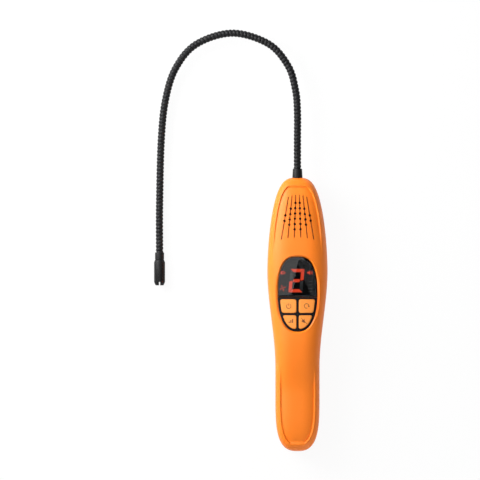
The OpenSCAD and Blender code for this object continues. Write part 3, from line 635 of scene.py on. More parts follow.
def hollow_depth(y):
    fade_from, fade_run = HEAD_FADE if y > 0 else TAIL_FADE
    start, end = HEAD_STEP if y > 0 else TAIL_STEP
    step = smooth((end - abs(y)) / (end - start))
    return HOLLOW * step * smooth((abs(y) - fade_from) / fade_run)


def face_z(x, y):
    sunk = hollow_depth(y) * smooth((hollow_width(y) + STEP_W - abs(x)) / STEP_W)
    return SPLIT_H + arch(x, half_width(y), front_rise(y), FRONT_N) - sunk


widths = [round(2 * float(half_width(y)), 1) for y in (WIDE_Y, WAIST_Y)]
print("widest and slimmest, in mm:", widths)

# %% [markdown]
# ## The two shells as closed forms
# Each shell starts as a closed form: rings across the housing, close together at the ends and where
# the hollow steps down. A subdivision cage would need fewer points, but it drifts from the rules, and
# rings hold them exactly. On each ring the flank is spaced evenly along its own curve, so that the
# round edge gets as many points as it needs. The inside is the same form without the hollow, one wall
# smaller.

# %% Rows and rings
END_GAP = 0.013
SEAM = 0.12
ROWS = 150
STEP_ROWS = 8
ROW_GAP, INNER_ROWS = 0.15, 60
FLANK, STEP, FACE, INNER, FINE = 14, 5, 22, 30, 240


def rows_along():
    even = HALF_LEN * np.sin(np.linspace(-math.pi / 2, math.pi / 2, ROWS))
    steps = np.concatenate([np.linspace(*HEAD_STEP, STEP_ROWS), -np.linspace(*TAIL_STEP, STEP_ROWS)])
    apart = [y for y in even if np.min(np.abs(y - steps)) > ROW_GAP and abs(y) < HALF_LEN - END_GAP]
    ends = [END_GAP - HALF_LEN, HALF_LEN - END_GAP]
    return sorted(np.concatenate([apart, steps, ends]))


def flank(a, b, n, x_end, count):
    t = np.linspace(0, math.acos((x_end / a) ** (n / 2)), FINE)
    x, z = a * np.cos(t) ** (2 / n), b * np.sin(t) ** (2 / n)
    run = np.concatenate([[0], np.cumsum(np.hypot(np.diff(x), np.diff(z)))])
    even = np.linspace(0, run[-1], count + 1)
    side = list(zip(np.interp(even, run, x), np.interp(even, run, z)))
    seam = min(SEAM, side[1][1] / 2)
    return [(side[0][0] - seam, 0.0), (side[0][0], seam)] + side[1:]


def front_ring(y):
    a, b, w = half_width(y), front_rise(y), hollow_width(y)
    x_end = min(w + STEP_W, RIM_MOST * a)
    side = flank(a, b, FRONT_N, x_end, FLANK)
    for k in range(1, STEP + 1):
        x = x_end + (w - x_end) * k / STEP
        side.append((x, arch(x, a, b, FRONT_N) - hollow_depth(y) * smooth(k / STEP)))
    face = [w * (1 - k / FACE) for k in range(1, 2 * FACE)]
    top = [(x, arch(x, a, b, FRONT_N) - hollow_depth(y)) for x in face]
    ring = side + top + [(-x, z) for x, z in reversed(side)]
    return [(x, y, SPLIT_H + z) for x, z in ring]


def rear_ring(y):
    a, b = half_width(y), rear_drop(y)
    flat = a * (1 - (SPLIT_H / b) ** REAR_N) ** (1 / REAR_N) if b > SPLIT_H else 0
    side = flank(a, b, REAR_N, max(FLAT_LEAST * a, flat), FLANK + STEP)
    ring = [(-x, z) for x, z in side] + [(x, z) for x, z in reversed(side)]
    return [(x, y, max(0, SPLIT_H - z)) for x, z in ring]


def inner_ring(y, up):
    a = half_width(y) - WALL
    b = (front_rise(y) if up > 0 else rear_drop(y) - BACK_CUT) - WALL
    n = FRONT_N if up > 0 else REAR_N
    t = np.linspace(0, math.pi, INNER + 1)
    x = a * np.sign(np.cos(t)) * np.abs(np.cos(t)) ** (2 / n)
    z = SPLIT_H + up * b * np.abs(np.sin(t)) ** (2 / n)
    past = SPLIT_H - up * PAST
    ring = [(a, y, past)] + list(zip(x, [y] * len(x), z)) + [(-a, y, past)]
    return ring if up > 0 else ring[::-1]


def inner_form(name, up):
    places = (HALF_LEN - WALL) * np.sin(np.linspace(-math.pi / 2, math.pi / 2, INNER_ROWS))
    return skinned(name, [inner_ring(y, up) for y in places])


row_y = rows_along()
front_shell = skinned("front_shell_skin", [front_ring(y) for y in row_y])
rear_shell = skinned("rear_shell_skin", [rear_ring(y) for y in row_y])
print("forms:", len(front_shell.data.polygons), "and", len(rear_shell.data.polygons), "faces")

# %% [markdown]
# ## The pocket for the window and the keys
# Window and keys share one egg-shaped pocket, blunt towards the head. Its outline is two power
# curves that meet at the widest place. The pocket has straight walls round the window and a bevel
# that opens out to the front face, which catches the light as a thin line on one side and a thin
# shade on the other. A Bevel modifier would meet an uneven row of cut faces there, so the bevel is
# part of the cutter.

# %% Pocket outline and cut
POCKET_W, POCKET_LEN, POCKET_Y = 30.0, 56.6, 17.5
POCKET_HEAD, POCKET_TAIL = (2.2, 3), (2.4, 2.4)
POCKET_POINTS, SPACING, UP_SHARE = 200, 0.8, 0.463
POCKET_UP = POCKET_LEN * UP_SHARE
POCKET_DOWN = POCKET_LEN - POCKET_UP
BEVEL_W, SEAT_ROOM = 1.0, 0.1
LENS_R, LENS_SINK, LENS_T = 80.0, 1.3, 2.5
CROWN_Z = 32.0
LENS_TOP = CROWN_Z - LENS_SINK
LEDGE_Z = LENS_TOP - LENS_T
SEAT_W, LEDGE_W, LEDGE_T = 1.8, 0.8, 1.4
CUT_ROOM, SEAT_INTO, WAY_DOWN, WAY_UP = 0.02, 0.1, 3, 0.5


def pocket_half(y, inset):
    up = y > POCKET_Y
    u = abs(y - POCKET_Y) / ((POCKET_UP if up else POCKET_DOWN) - inset)
    return (POCKET_W / 2 - inset) * round_end(u, *(POCKET_HEAD if up else POCKET_TAIL))


def pocket_outline(inset):
    points = []
    for k in range(POCKET_POINTS):
        t = 2 * math.pi * (k + 0.5) / POCKET_POINTS
        reach = (POCKET_UP if math.sin(t) > 0 else POCKET_DOWN) - inset
        y = POCKET_Y + reach * math.copysign(abs(math.sin(t)) ** SPACING, math.sin(t))
        points.append((math.copysign(float(pocket_half(y, inset)), math.cos(t)), y))
    return points


def lens_z(x):
    return LENS_TOP - LENS_R + np.sqrt(LENS_R ** 2 - np.asarray(x) ** 2)


def pocket_cut():
    inner, outer = pocket_outline(-SEAT_ROOM), pocket_outline(-BEVEL_W)
    return skinned("pocket_cut", [
        [(x, y, LEDGE_Z) for x, y in inner],
        [(x, y, float(lens_z(x)) + CUT_ROOM) for x, y in inner],
        [(x, y, float(face_z(x, y)) + CUT_ROOM) for x, y in outer],
        [(x, y, CROWN_Z + WALL) for x, y in outer]])


carved(front_shell, "DIFFERENCE", inner_form("front_inside", 1))
seat_low, seat_high = LEDGE_Z - LEDGE_T, CROWN_Z - WALL + SEAT_INTO
carved(front_shell, "UNION", prism("window_seat", pocket_outline(-SEAT_W), seat_low, seat_high))
carved(front_shell, "DIFFERENCE", pocket_cut(),
       prism("window_way", pocket_outline(LEDGE_W), LEDGE_Z - WAY_DOWN, LEDGE_Z + WAY_UP))
print("front shell with its pocket:", len(front_shell.data.polygons), "faces")

# %% [markdown]
# ## The vent
# Sound leaves through six fanned slots with small holes along them, fewer towards the sides. Each
# slot is a thin groove that follows the face, so its cutter is a narrow bar whose rings take their
# height from the face. The holes are one round pin that the second node tree puts on many places.
# A bump could only hint at them, so bars and pins are really carved away, in one go.

# %% Slots and holes
SLOTS, VENT_LEN, VENT_Y, VENT_SWEEP = 6, 32.3, 74.4, 0.25
GAP_HEAD, GAP_TAIL = 2.75, 4.9
SLOT_W, SLOT_D, HOLE_R, HOLE_PITCH = 0.8, 0.8, 0.95, 4.0
SLOT_STEPS, SLOT_UP = 16, 4
PIN_SIDES, PIN_LOW, PIN_HIGH = 20, -6, 3


def slot_place(i, t):
    at = i - (SLOTS - 1) / 2
    x = at * (GAP_HEAD + (GAP_TAIL - GAP_HEAD) * t)
    return x, VENT_Y + VENT_LEN * (0.5 - t) - VENT_SWEEP * at * at


def slot_cutter(i):
    rings = []
    for k in range(SLOT_STEPS + 1):
        x, y = slot_place(i, k / SLOT_STEPS)
        low, w = float(face_z(x, y)) - SLOT_D, SLOT_W / 2
        high = low + SLOT_UP
        rings.append([(x - w, y, low), (x + w, y, low), (x + w, y, high), (x - w, y, high)])
    return outwards(skinned(f"slot_{i}", rings))


def hole_places():
    for i in range(SLOTS):
        holes = SLOTS - 2 * math.floor(abs(i - (SLOTS - 1) / 2))
        for k in range(holes):
            x, y = slot_place(i, 0.5 + (k - (holes - 1) / 2) * HOLE_PITCH / VENT_LEN)
            yield x, y, float(face_z(x, y))


def round_outline(radius, count):
    turns = [2 * math.pi * k / count for k in range(count)]
    return [(radius * math.cos(t), radius * math.sin(t)) for t in turns]


holes = list(hole_places())
pin = prism("vent_pin", round_outline(HOLE_R, PIN_SIDES), PIN_LOW, PIN_HIGH)
pins = repeated("vent_holes", pin, holes)
carved(front_shell, "DIFFERENCE", pins, *[slot_cutter(i) for i in range(SLOTS)])
print("vent:", SLOTS, "slots and", len(holes), "holes")

# %% [markdown]
# ## The rear shell and the battery door
# The back is flat where it lies on the bench. In the grip it is open for the cells, and the door,
# which carries the end of the tail, slides in two rails. The door is cut from the same form as the
# shell, a little smaller all round and a little sunk, so that the two always match. Ribs for the
# thumb are one bar on five places.

# %% Bay, rails and door
CELL_D, CELL_LEN, BUTTON, SPRING_LEN, STRIP_T = 10.5, 43.5, 1.0, 5.0, 0.4
CELL_GAP, CELL_ROOM, CELL_LIFT = 0.7, 0.4, 0.5
CELL_X = (CELL_D + CELL_GAP) / 2
CELL_Z = WALL + CELL_LIFT + CELL_D / 2
BAY_W = 2 * (CELL_X + CELL_D / 2 + CELL_ROOM)
TAIL_ROOM = 15.8
BAY_TAIL = TAIL_ROOM - HALF_LEN
BAY_LEN = CELL_LEN + BUTTON + SPRING_LEN + 2 * (STRIP_T + 2 * SEAT_ROOM)
BAY_HEAD = BAY_TAIL + BAY_LEN
BAY_TOP = CELL_Z + CELL_D / 2 + CELL_ROOM
BAY_WALL, RAIL_Z, RAIL_H, RAIL_W, RAIL_STOP = 1.4, 2.0, 1.4, 1.3, 4.0
DOOR_OVER, DOOR_SINK, SLIDE_ROOM = 1, 0.25, 0.25
DOOR_HEAD = BAY_HEAD + DOOR_OVER
TAIL_WALL_X, TAIL_WALL_Z, HEAD_LAP, LAP = 9.6, 5, 0.5, 0.1
TONGUE_PLAY, TONGUE_ROOT, TONGUE_SHORT = 0.2, 1.2, 4
RIBS, RIB_PITCH, RIB_FROM, RIB_X, RIB_W, RIB_D = 5, 2.4, 6, 7, 1.2, 0.5
FAR = 400.0
ROUND_SIDES = 64


def along_y(name, radius, x, y, z, length):
    ring = round_outline(radius, ROUND_SIDES)
    return skinned(name, [[(x + u, at, z + w) for u, w in ring] for at in (y + length, y)])


def bay_frame():
    low, roof, w = RAIL_Z + RAIL_H, BAY_TOP + BAY_WALL, BAY_W / 2
    out, tail, head, top = w + BAY_WALL, BAY_TAIL - BAY_WALL, BAY_HEAD + BAY_WALL, roof - LAP
    frame_piece = block("bay_roof", (-out, tail, BAY_TOP), (out, head, roof))
    walls = [
        block("bay_left", (-out, BAY_TAIL, low), (-w, head, top)),
        block("bay_right", (w, BAY_TAIL, low), (out, head, top)),
        block("bay_head", (-w - HEAD_LAP, BAY_HEAD, low + 2 * SLIDE_ROOM), (w + HEAD_LAP, head, top)),
        block("bay_tail", (-TAIL_WALL_X, tail, TAIL_WALL_Z), (TAIL_WALL_X, BAY_TAIL, top))]
    return carved(frame_piece, "UNION", *walls)


def battery_door():
    half, head = BAY_W / 2 - SLIDE_ROOM, DOOR_HEAD - SLIDE_ROOM
    door = skinned("battery_door_skin", [rear_ring(y) for y in row_y])
    carved(door, "DIFFERENCE", inner_form("door_inside", -1))
    room = block("door_room", (-half, -FAR, DOOR_SINK), (half, head, SPLIT_H - SLIDE_ROOM))
    carved(door, "INTERSECT", room)
    tongue, root = half + RAIL_W - 2 * SLIDE_ROOM, half - TONGUE_ROOT
    tail, tip = BAY_TAIL + TONGUE_SHORT, DOOR_HEAD - RAIL_STOP - 2 * SLIDE_ROOM
    low, high = RAIL_Z + TONGUE_PLAY, RAIL_Z + RAIL_H - TONGUE_PLAY
    carved(door, "UNION", block("tongue_left", (-tongue, tail, low), (-root, tip, high)),
           block("tongue_right", (root, tail, low), (tongue, tip, high)))
    scallops = [along_y(f"scallop_{x}", CELL_D / 2 + CELL_ROOM, x, BAY_TAIL, CELL_Z, BAY_LEN)
                for x in (-CELL_X, CELL_X)]
    rib = block("thumb_rib", (-RIB_X, 0, -PAST), (RIB_X, RIB_W, DOOR_SINK + RIB_D))
    ribs = repeated("thumb_ribs", rib, [(0, DOOR_HEAD - RIB_FROM - RIB_PITCH * k, 0) for k in range(RIBS)])
    return carved(door, "DIFFERENCE", ribs, *scallops)


door = battery_door()
print("door:", len(door.data.polygons), "faces")

# %% [markdown]
# ## Screws and their wells
# Four self-tapping screws hold the shells together from behind, their heads deep in round wells. One
# screw is turned on the lathe, so to speak, from half its profile, gets a cross recess, and the node
# tree puts it on its four places. The shell gets the wells, the neck's bore and the opened bay.

# %% Lathe, screws and the finished rear shell
SCREW_X, SCREW_YS, SCREW_SEAT = 10.4, (BAY_HEAD + 6.5, HALF_LEN - 15.5), 6.0
SCREW_R, SCREW_HEAD_R, SCREW_HEAD_H, SCREW_LEN = 1.3, 2.3, 2.0, 16.0
CROSS_W, CROSS_R, CROSS_LOW, CROSS_HIGH = 0.35, 1.4, -3, -0.9
WELL_ROOM, WELL_LOW = 0.2, -9
TOWER_R, TOWER_LOW, TOWER_HIGH = 3.1, -1.5, 8.9
NECK_Z, COLLAR_BASE_D, BORE_FROM, BORE_LEN = SPLIT_H, 7.7, 85, 40
SMALL_SIDES = 32


def turned(name, profile, centre, axis, sides=ROUND_SIDES):
    """A closed profile of (along, radius) points, turned round an axis through centre."""
    along = Vector(axis)
    across = along.orthogonal().normalized()
    third = along.cross(across)
    rings = []
    for k in range(sides):
        t = 2 * math.pi * k / sides
        out = across * math.cos(t) + third * math.sin(t)
        rings.append([tuple(Vector(centre) + along * s + out * r) for s, r in profile])
    points = [p for ring in rings for p in ring]
    return outwards(made(name, points, bands(sides, len(profile), closed=True)))


def screw():
    low = -SCREW_HEAD_H
    head = [(low, 0), (low, 1.5), (low + 0.25, 2.0), (low + 0.8, SCREW_HEAD_R), (0, SCREW_HEAD_R)]
    shank = [(0, SCREW_R), (SCREW_LEN - 1.4, SCREW_R), (SCREW_LEN, 0.4), (SCREW_LEN, 0)]
    piece = turned("screw", head + shank, (0, 0, 0), (0, 0, 1), SMALL_SIDES)
    arms = [block("cross_x", (-CROSS_R, -CROSS_W, CROSS_LOW), (CROSS_R, CROSS_W, CROSS_HIGH)),
            block("cross_y", (-CROSS_W, -CROSS_R, CROSS_LOW), (CROSS_W, CROSS_R, CROSS_HIGH))]
    return creased(carved(piece, "DIFFERENCE", *arms))


def neck_bore(name):
    return along_y(name, COLLAR_BASE_D / 2 + SEAT_ROOM, 0, BORE_FROM, NECK_Z, BORE_LEN)


screw_places = [(x, y, SCREW_SEAT) for y in SCREW_YS for x in (-SCREW_X, SCREW_X)]
screws = repeated("case_screw_set", screw(), screw_places, STEEL)
well = prism("well", round_outline(SCREW_HEAD_R + WELL_ROOM, SMALL_SIDES), WELL_LOW, 0)
wells = repeated("screw_wells", well, screw_places)
tower = prism("tower", round_outline(TOWER_R, SMALL_SIDES), TOWER_LOW, TOWER_HIGH)
towers = repeated("screw_towers", tower, screw_places)
rail_x, rail_end = BAY_W / 2 + RAIL_W, DOOR_HEAD - RAIL_STOP
carved(rear_shell, "DIFFERENCE", inner_form("rear_inside", -1))
carved(rear_shell, "UNION", towers)
carved(rear_shell, "DIFFERENCE", wells,
       block("bay_way", (-BAY_W / 2, -FAR, -PAST), (BAY_W / 2, DOOR_HEAD, SPLIT_H + PAST)),
       block("rails", (-rail_x, -FAR, RAIL_Z), (rail_x, rail_end, RAIL_Z + RAIL_H)),
       neck_bore("rear_bore"))
carved(rear_shell, "UNION", bay_frame())
carved(front_shell, "DIFFERENCE", neck_bore("front_bore"))
print("screws:", len(screw_places), "and rear shell:", len(rear_shell.data.polygons), "faces")

# %% [markdown]
# ## On their bodies
# On the real detector the shells and screws are one rigid body and the door slides against it. Each
# finished piece gets its finish, rides on its body and takes the place of the plain CAD node. The
# vent's slots and holes get painted shade, with a little dust in the slots. A painted image could show
# that, but a mark on the faces stays right whichever way the mesh is cut, so the faces that lie below
# the front are marked, the holes darkest.

# %% Put the housing on its body
# How much painted shade the slots and the holes get, and where a face counts as lying in them.
SLOT_SHADE, HOLE_SHADE = 0.6, 1.0
PAST_ENDS, SLOT_BELOW, HOLE_BELOW = 0.2, 0.1, 1.1


def finished(mesh, finish):
    mesh.materials.clear()
    mesh.materials.append(finish)


def placed(piece, body, finish=None, stands_for=()):
    if finish:
        finished(piece.data, finish)
    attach(piece, body)
    if stands_for:
        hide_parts(*stands_for)
    return piece


def painted_vent_shade(shell):
    """Marks the faces in the slots and holes for painted shade and a little dust, darkest in the holes."""
    mesh = shell.data
    mark = mesh.attributes.new(SHADE, "FLOAT", "FACE")
    for face in mesh.polygons:
        x, y, z = face.center / MM
        t = 0.5 - (y - VENT_Y) / VENT_LEN
        reach = slot_place(SLOTS - 1, t)[0] + 2 * HOLE_R
        depth = (face_z(x, y) - z) / SLOT_D
        if abs(x) < reach and -PAST_ENDS < t < 1 + PAST_ENDS and depth > SLOT_BELOW:
            mark.data[face.index].value = HOLE_SHADE if depth > HOLE_BELOW else SLOT_SHADE
    return shell


placed(painted_vent_shade(creased(front_shell)), "housing", ORANGE, ["front_shell"])
placed(creased(rear_shell), "housing", ORANGE, ["rear_shell"])
placed(creased(door), "door", ORANGE, ["battery_door"])
placed(screws, "housing", None, ["case_screws"])
print("housing dressed")

# %% [markdown]
# ## The window
# The window is a pane with a crowned face and a softly broken edge. A prism with a Bevel modifier
# would keep its face flat, so a pillow helper makes such pieces: it takes an outline and a rule for
# the top face, rounds the edge over in a few steps and closes the face with rings that shrink towards
# the middle. The crown is then real geometry.

# %% Pillow helper and the window
EDGE_STEPS, CROWN_RINGS = 4, 8


def inset(outline, d):
    points = np.array(outline)
    way = np.roll(points, -1, 0) - np.roll(points, 1, 0)
    way /= np.linalg.norm(way, axis=1)[:, None]
    return points + d * np.column_stack([-way[:, 1], way[:, 0]])


def pillow(name, outline, low, top, edge):
    def level(points, z):
        return [(x, y, z(x, y)) for x, y in points]

    levels = [level(outline, lambda x, y: low)]
    for k in range(EDGE_STEPS + 1):
        t = math.pi / 2 * k / EDGE_STEPS
        drop = edge * (1 - math.sin(t))
        levels.append(level(inset(outline, edge * (1 - math.cos(t))), lambda x, y: float(top(x, y)) - drop))
    rim = inset(outline, edge)
    middle = rim.mean(0)
    for k in range(1, CROWN_RINGS):
        ring = middle + (rim - middle) * (1 - k / CROWN_RINGS)
        levels.append(level(ring, lambda x, y: float(top(x, y))))
    n = len(outline)
    points = [p for ring in levels for p in ring] + [(*middle, float(top(*middle)))]
    faces = [tuple(range(n - 1, -1, -1))] + bands(len(levels), n)
    last = (len(levels) - 1) * n
    faces += [(last + j, last + (j + 1) % n, len(points) - 1) for j in range(n)]
    return made(name, points, faces)


def even_outline(points, count):
    closed = np.vstack([points, points[:1]])
    run = np.concatenate([[0], np.cumsum(np.linalg.norm(np.diff(closed, axis=0), axis=1))])
    at = np.linspace(0, run[-1], count, endpoint=False)
    return np.column_stack([np.interp(at, run, closed[:, 0]), np.interp(at, run, closed[:, 1])])


def softened(points, window, count=160):
    """The outline with its corners rounded: each point becomes the mean of its neighbours in the window."""
    dense = even_outline(np.array(points), 4 * count)
    length = np.linalg.norm(np.diff(dense, axis=0), axis=1).sum()
    reach = max(1, int(window / length * len(dense) / 2))
    mean = sum(np.roll(dense, k, 0) for k in range(-reach, reach + 1)) / (2 * reach + 1)
    return even_outline(mean, count)


LENS_END_Y = 13.0
PANE_CORNER, PANE_POINTS, PANE_EDGE = 0.5, 220, 0.25
above = [(x, y) for x, y in pocket_outline(0) if y > LENS_END_Y]
corner = float(pocket_half(LENS_END_Y, 0))
right = [k for k in range(len(above)) if above[k][0] > 0]
start = min(right, key=lambda k: (above[k][1], -above[k][0]))
pane_line = [(corner, LENS_END_Y)] + above[start:] + above[:start] + [(-corner, LENS_END_Y)]
pane_line = softened(pane_line, PANE_CORNER, PANE_POINTS)
window = pillow("smoked_window_pane", pane_line, LEDGE_Z, lambda x, y: lens_z(x), PANE_EDGE)
placed(creased(window), "housing", WINDOW, ["display_window"])
print("window:", len(window.data.polygons), "faces")

# %% [markdown]
# ## The lit digit
# Behind the window sits a block with seven light bars. Each bar is a thin plate with mitred ends on
# the block's face. A picture of the digit would do for one view, but plates have edges that catch the
# light from every side. Five of the seven are lit, which reads as a two.

# %% Digit
DIGIT_Z, PLATE_T, PLATE_SUNK = LEDGE_Z - 0.2, 0.1, 0.02
DIGIT_AT, DIGIT_W, DIGIT_H, BAR_W, SLANT = (-0.85, 25.6), 10.4, 17.6, 2.35, 0.09
BAR_GAP, BAR_POINT, END_NEAR, END_FAR = 0.16, 0.7, 0.2, 0.5


def plates(name, body, outlines, surface, rise, finish):
    """Thin plates on a surface: each outline reaches from a little below it to the rise above it."""
    points, faces = [], []
    for outline in outlines:
        n, first = len(outline), len(points)
        for lift in (-PLATE_SUNK, rise):
            points += [(x, y, float(surface(x, y)) + lift) for x, y in outline]
        faces.append(tuple(first + k for k in range(n - 1, -1, -1)))
        faces.append(tuple(first + n + k for k in range(n)))
        for k in range(n):
            here, there = first + k, first + (k + 1) % n
            faces.append((here, there, n + there, n + here))
    return placed(creased(outwards(made(name, points, faces))), body, finish)


def shown(name, outlines, finish):
    return plates(name, "housing", outlines, lambda x, y: DIGIT_Z, PLATE_T, finish)


def digit_bars():
    w, h, t, g = DIGIT_W / 2, DIGIT_H / 2, BAR_W, BAR_GAP
    top = [(-w + g, h), (-w + t + g, h - t), (w - t - g, h - t), (w - g, h)]
    right = [(w, h - g), (w - t, h - t - g), (w - t, g + END_NEAR), (w - t / 2, g), (w, g + END_FAR)]
    flat = w - t - BAR_POINT
    middle = [(-w + t + g, 0), (-flat, -t / 2), (flat, -t / 2), (w - t - g, 0), (flat, t / 2),
              (-flat, t / 2)]
    return {
        "top": top, "low": [(x, -y) for x, y in top], "middle": middle,
        "head_right": right, "head_left": [(-x, y) for x, y in right],
        "tail_right": [(x, -y) for x, y in right], "tail_left": [(-x, -y) for x, y in right]}


def slanted(outline):
    return [(DIGIT_AT[0] + x + SLANT * y, DIGIT_AT[1] + y) for x, y in outline]


BARS = {name: slanted(outline) for name, outline in digit_bars().items()}
TWO = ("top", "head_right", "middle", "tail_left", "low")
shown("digit_lit", [BARS[k] for k in TWO], LIT)
shown("digit_unlit", [BARS[k] for k in BARS if k not in TWO], UNLIT_PAINTED_GLOW)
finished(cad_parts["digit_display"].data, DIGIT_FACE)
print("digit:", len(TWO), "bars lit of", len(BARS))

# %% [markdown]
# ## Small signs of the display
# Beside the digit stand small signs for the battery, the fan, the sounder and the level. They are
# plates like the bars, put together from upright boxes, fan blades and a sounder's cone, which the
# mute key uses again.

# %% Signs beside the digit
def rect(x, y, wide, high):
    w, h = wide / 2, high / 2
    return [(x - w, y - h), (x + w, y - h), (x + w, y + h), (x - w, y + h)]


def rects(place, boxes):
    return [rect(place[0] + x, place[1] + y, wide, high) for x, y, wide, high in boxes]


def fan_blade(x, y, turn):
    c, s = math.cos(turn), math.sin(turn)
    shape = [(0.3, -0.15), (2.3, -0.55), (2.3, 0.2), (0.3, 0.15)]
    return [(x + u * c - v * s, y + u * s + v * c) for u, v in shape]


def speaker(x, y, back, front, mouth):
    half = [(-1.9, -back), (-1.0, -back), (front, -mouth)]
    return [(x + u, y + v) for u, v in half] + [(x + u, y - v) for u, v in reversed(half)]


BATTERY_AT, FAN_AT, SOUNDER_AT, LEVEL_AT = (-11.2, 31.6), (-11.2, 19.9), (9.1, 31.6), (9.6, 22.4)
BATTERY = [(-1.0, 0, 1.7, 2.2), (-0.3, 0.9, 2.3, 0.4), (-0.3, -0.9, 2.3, 0.4),
           (1.1, 0, 0.5, 2.2), (1.75, 0, 0.5, 0.9)]
WAVES = [(1.0, 0, 0.4, 1.5), (1.8, 0, 0.4, 2.5)]
LEVEL_STEP, LEVEL_W, LEVEL_H = 2.6, 2.4, 0.6
LEVELS = [(0, LEVEL_STEP * k, LEVEL_W, LEVEL_H) for k in (-2, -1, 0, 1)]
BLADES, FIRST_BLADE_DEG = 4, 25
BLADE_TURNS = [math.radians(FIRST_BLADE_DEG + 360 / BLADES * k) for k in range(BLADES)]
shown("sign_dim", rects(BATTERY_AT, BATTERY) + [fan_blade(*FAN_AT, turn) for turn in BLADE_TURNS], DIM)
cone = speaker(*SOUNDER_AT, back=0.55, front=0.3, mouth=1.75)
shown("sign_lit", [cone] + rects(SOUNDER_AT, WAVES), LIT)
shown("level_unlit", rects(LEVEL_AT, LEVELS), UNLIT_PAINTED_GLOW)
print("signs:", len(BATTERY) + len(BLADE_TURNS) + len(WAVES) + len(LEVELS) + 1, "plates")

# %% [markdown]
# ## Keys and their surround
# Four keys fill the lower part of the pocket inside a black margin. Four copies of one key would leave
# an uneven margin, because the pocket narrows towards the tail. So each outline is the pocket's own
# curve, moved in, on one side and straight lines on the others, with the corners softened. The
# surround is one black pane with four holes, a little larger than the keys.

# %% Key outlines, surround and keys
KEY_MID_Y, KEY_LEN, KEY_GAP, KEY_MARGIN, KEY_PLAY, KEY_PROUD = 0.3, 10.2, 1.9, 1.8, 0.25, 0.5
FRAME_SINK, KEY_FLANGE_H, STEM_R, KEY_X = 0.15, 0.9, 2.0, 7.0
KEY_CORNER, KEY_POINTS, KEY_EDGE, STEM_INTO = 3.4, 60, 0.4, 0.3
SURROUND_CORNER, SURROUND_POINTS, SURROUND_EDGE = 0.4, 240, 0.2
BOARD_RISE, SWITCH_H, SWITCH_BUTTON_H, KEY_TRAVEL = 4, 3.5, 1.7, 0.9
SWITCH_TOP = SPLIT_H + BOARD_RISE + SWITCH_H + SWITCH_BUTTON_H
KEYS = {"power": (-1, 1), "reset": (1, 1), "level": (-1, -1), "mute": (1, -1)}


def key_outline(side, row):
    near = KEY_MID_Y + row * KEY_GAP / 2
    low, high = sorted((near, near + row * KEY_LEN))
    ys = np.linspace(low, high, KEY_POINTS)
    edge = [(float(pocket_half(y, KEY_MARGIN)), y) for y in ys]
    line = [(KEY_GAP / 2, low)] + edge + [(KEY_GAP / 2, high)]
    if side < 0:
        line = [(-x, y) for x, y in reversed(line)]
    return softened(line, KEY_CORNER)


def key_surround():
    end_y = LENS_END_Y - SEAT_ROOM
    below = [(x, y) for x, y in pocket_outline(0) if y < end_y]
    left = [k for k in range(len(below)) if below[k][0] < 0]
    first = max(left, key=lambda k: below[k][1])
    line = [(-corner, end_y)] + below[first:] + below[:first] + [(corner, end_y)]
    line = softened(line, SURROUND_CORNER, SURROUND_POINTS)
    pane = pillow("key_surround", line, LEDGE_Z, lambda x, y: lens_z(x) - FRAME_SINK, SURROUND_EDGE)
    ways = []
    for name, at in KEYS.items():
        hole = inset(key_outline(*at), -KEY_PLAY)
        ways.append(prism(f"key_way_{name}", hole, LEDGE_Z - PAST, CROWN_Z))
    return carved(pane, "DIFFERENCE", *ways)


def key_top(x, y):
    return lens_z(x) + KEY_PROUD


placed(creased(key_surround()), "housing", BLACK, ["key_frame"])
for name, (side, row) in KEYS.items():
    low = LEDGE_Z - FRAME_SINK - KEY_FLANGE_H
    key = pillow(f"key_cap_{name}", key_outline(side, row), low, key_top, KEY_EDGE)
    stem_low = SWITCH_TOP + KEY_TRAVEL + SEAT_ROOM
    at_y = KEY_MID_Y + row * (KEY_GAP + KEY_LEN) / 2
    pin = [(x + side * KEY_X, y + at_y) for x, y in round_outline(STEM_R, SMALL_SIDES)]
    carved(key, "UNION", prism(f"key_stem_{name}", pin, stem_low, low + STEM_INTO))
    placed(creased(key), f"{name}_key", KEY_ORANGE, [f"key_{name}"])
print("keys:", ", ".join(KEYS))

# %% [markdown]
# ## Legends
# Each key carries a small printed sign: a power ring, a turn-back arrow, rising level bars and a
# struck-out sounder. A picture would blur up close, so they are thin plates that follow the key's
# crown, made from strips and polygons, and they ride on the key they are printed on.

# %% Signs on the keys
INK_T, STROKE = 0.03, 0.42
ARC_STEPS, LINE_STEPS, SIGN_R, HEAD_R = 28, 8, 1.7, 0.85


def strip(points):
    line = np.array(points, float)
    way = np.gradient(line, axis=0)
    way /= np.linalg.norm(way, axis=1)[:, None]
    side = np.column_stack([-way[:, 1], way[:, 0]]) * STROKE / 2
    left, right = line + side, line - side
    return [[tuple(p) for p in quad] for quad in zip(left, right, right[1:], left[1:])]


def arc(x, y, start_deg, end_deg):
    turns = np.radians(np.linspace(start_deg, end_deg, ARC_STEPS))
    return [(x + SIGN_R * math.cos(t), y + SIGN_R * math.sin(t)) for t in turns]


def line_of(a, b):
    shares = [k / LINE_STEPS for k in range(LINE_STEPS + 1)]
    return [(a[0] + (b[0] - a[0]) * t, a[1] + (b[1] - a[1]) * t) for t in shares]


def printed(name, outlines):
    return plates(f"legend_{name}", f"{name}_key", outlines, key_top, INK_T, LEGEND)


def key_centre(name):
    return key_outline(*KEYS[name]).mean(0)


RING_DEG, RING_DOWN, UPRIGHT_LOW, UPRIGHT_HIGH = (125, 415), 0.2, 0.1, 2.0
x, y = key_centre("power")
upright = line_of((x, y + UPRIGHT_LOW), (x, y + UPRIGHT_HIGH))
printed("power", strip(arc(x, y - RING_DOWN, *RING_DEG)) + strip(upright))

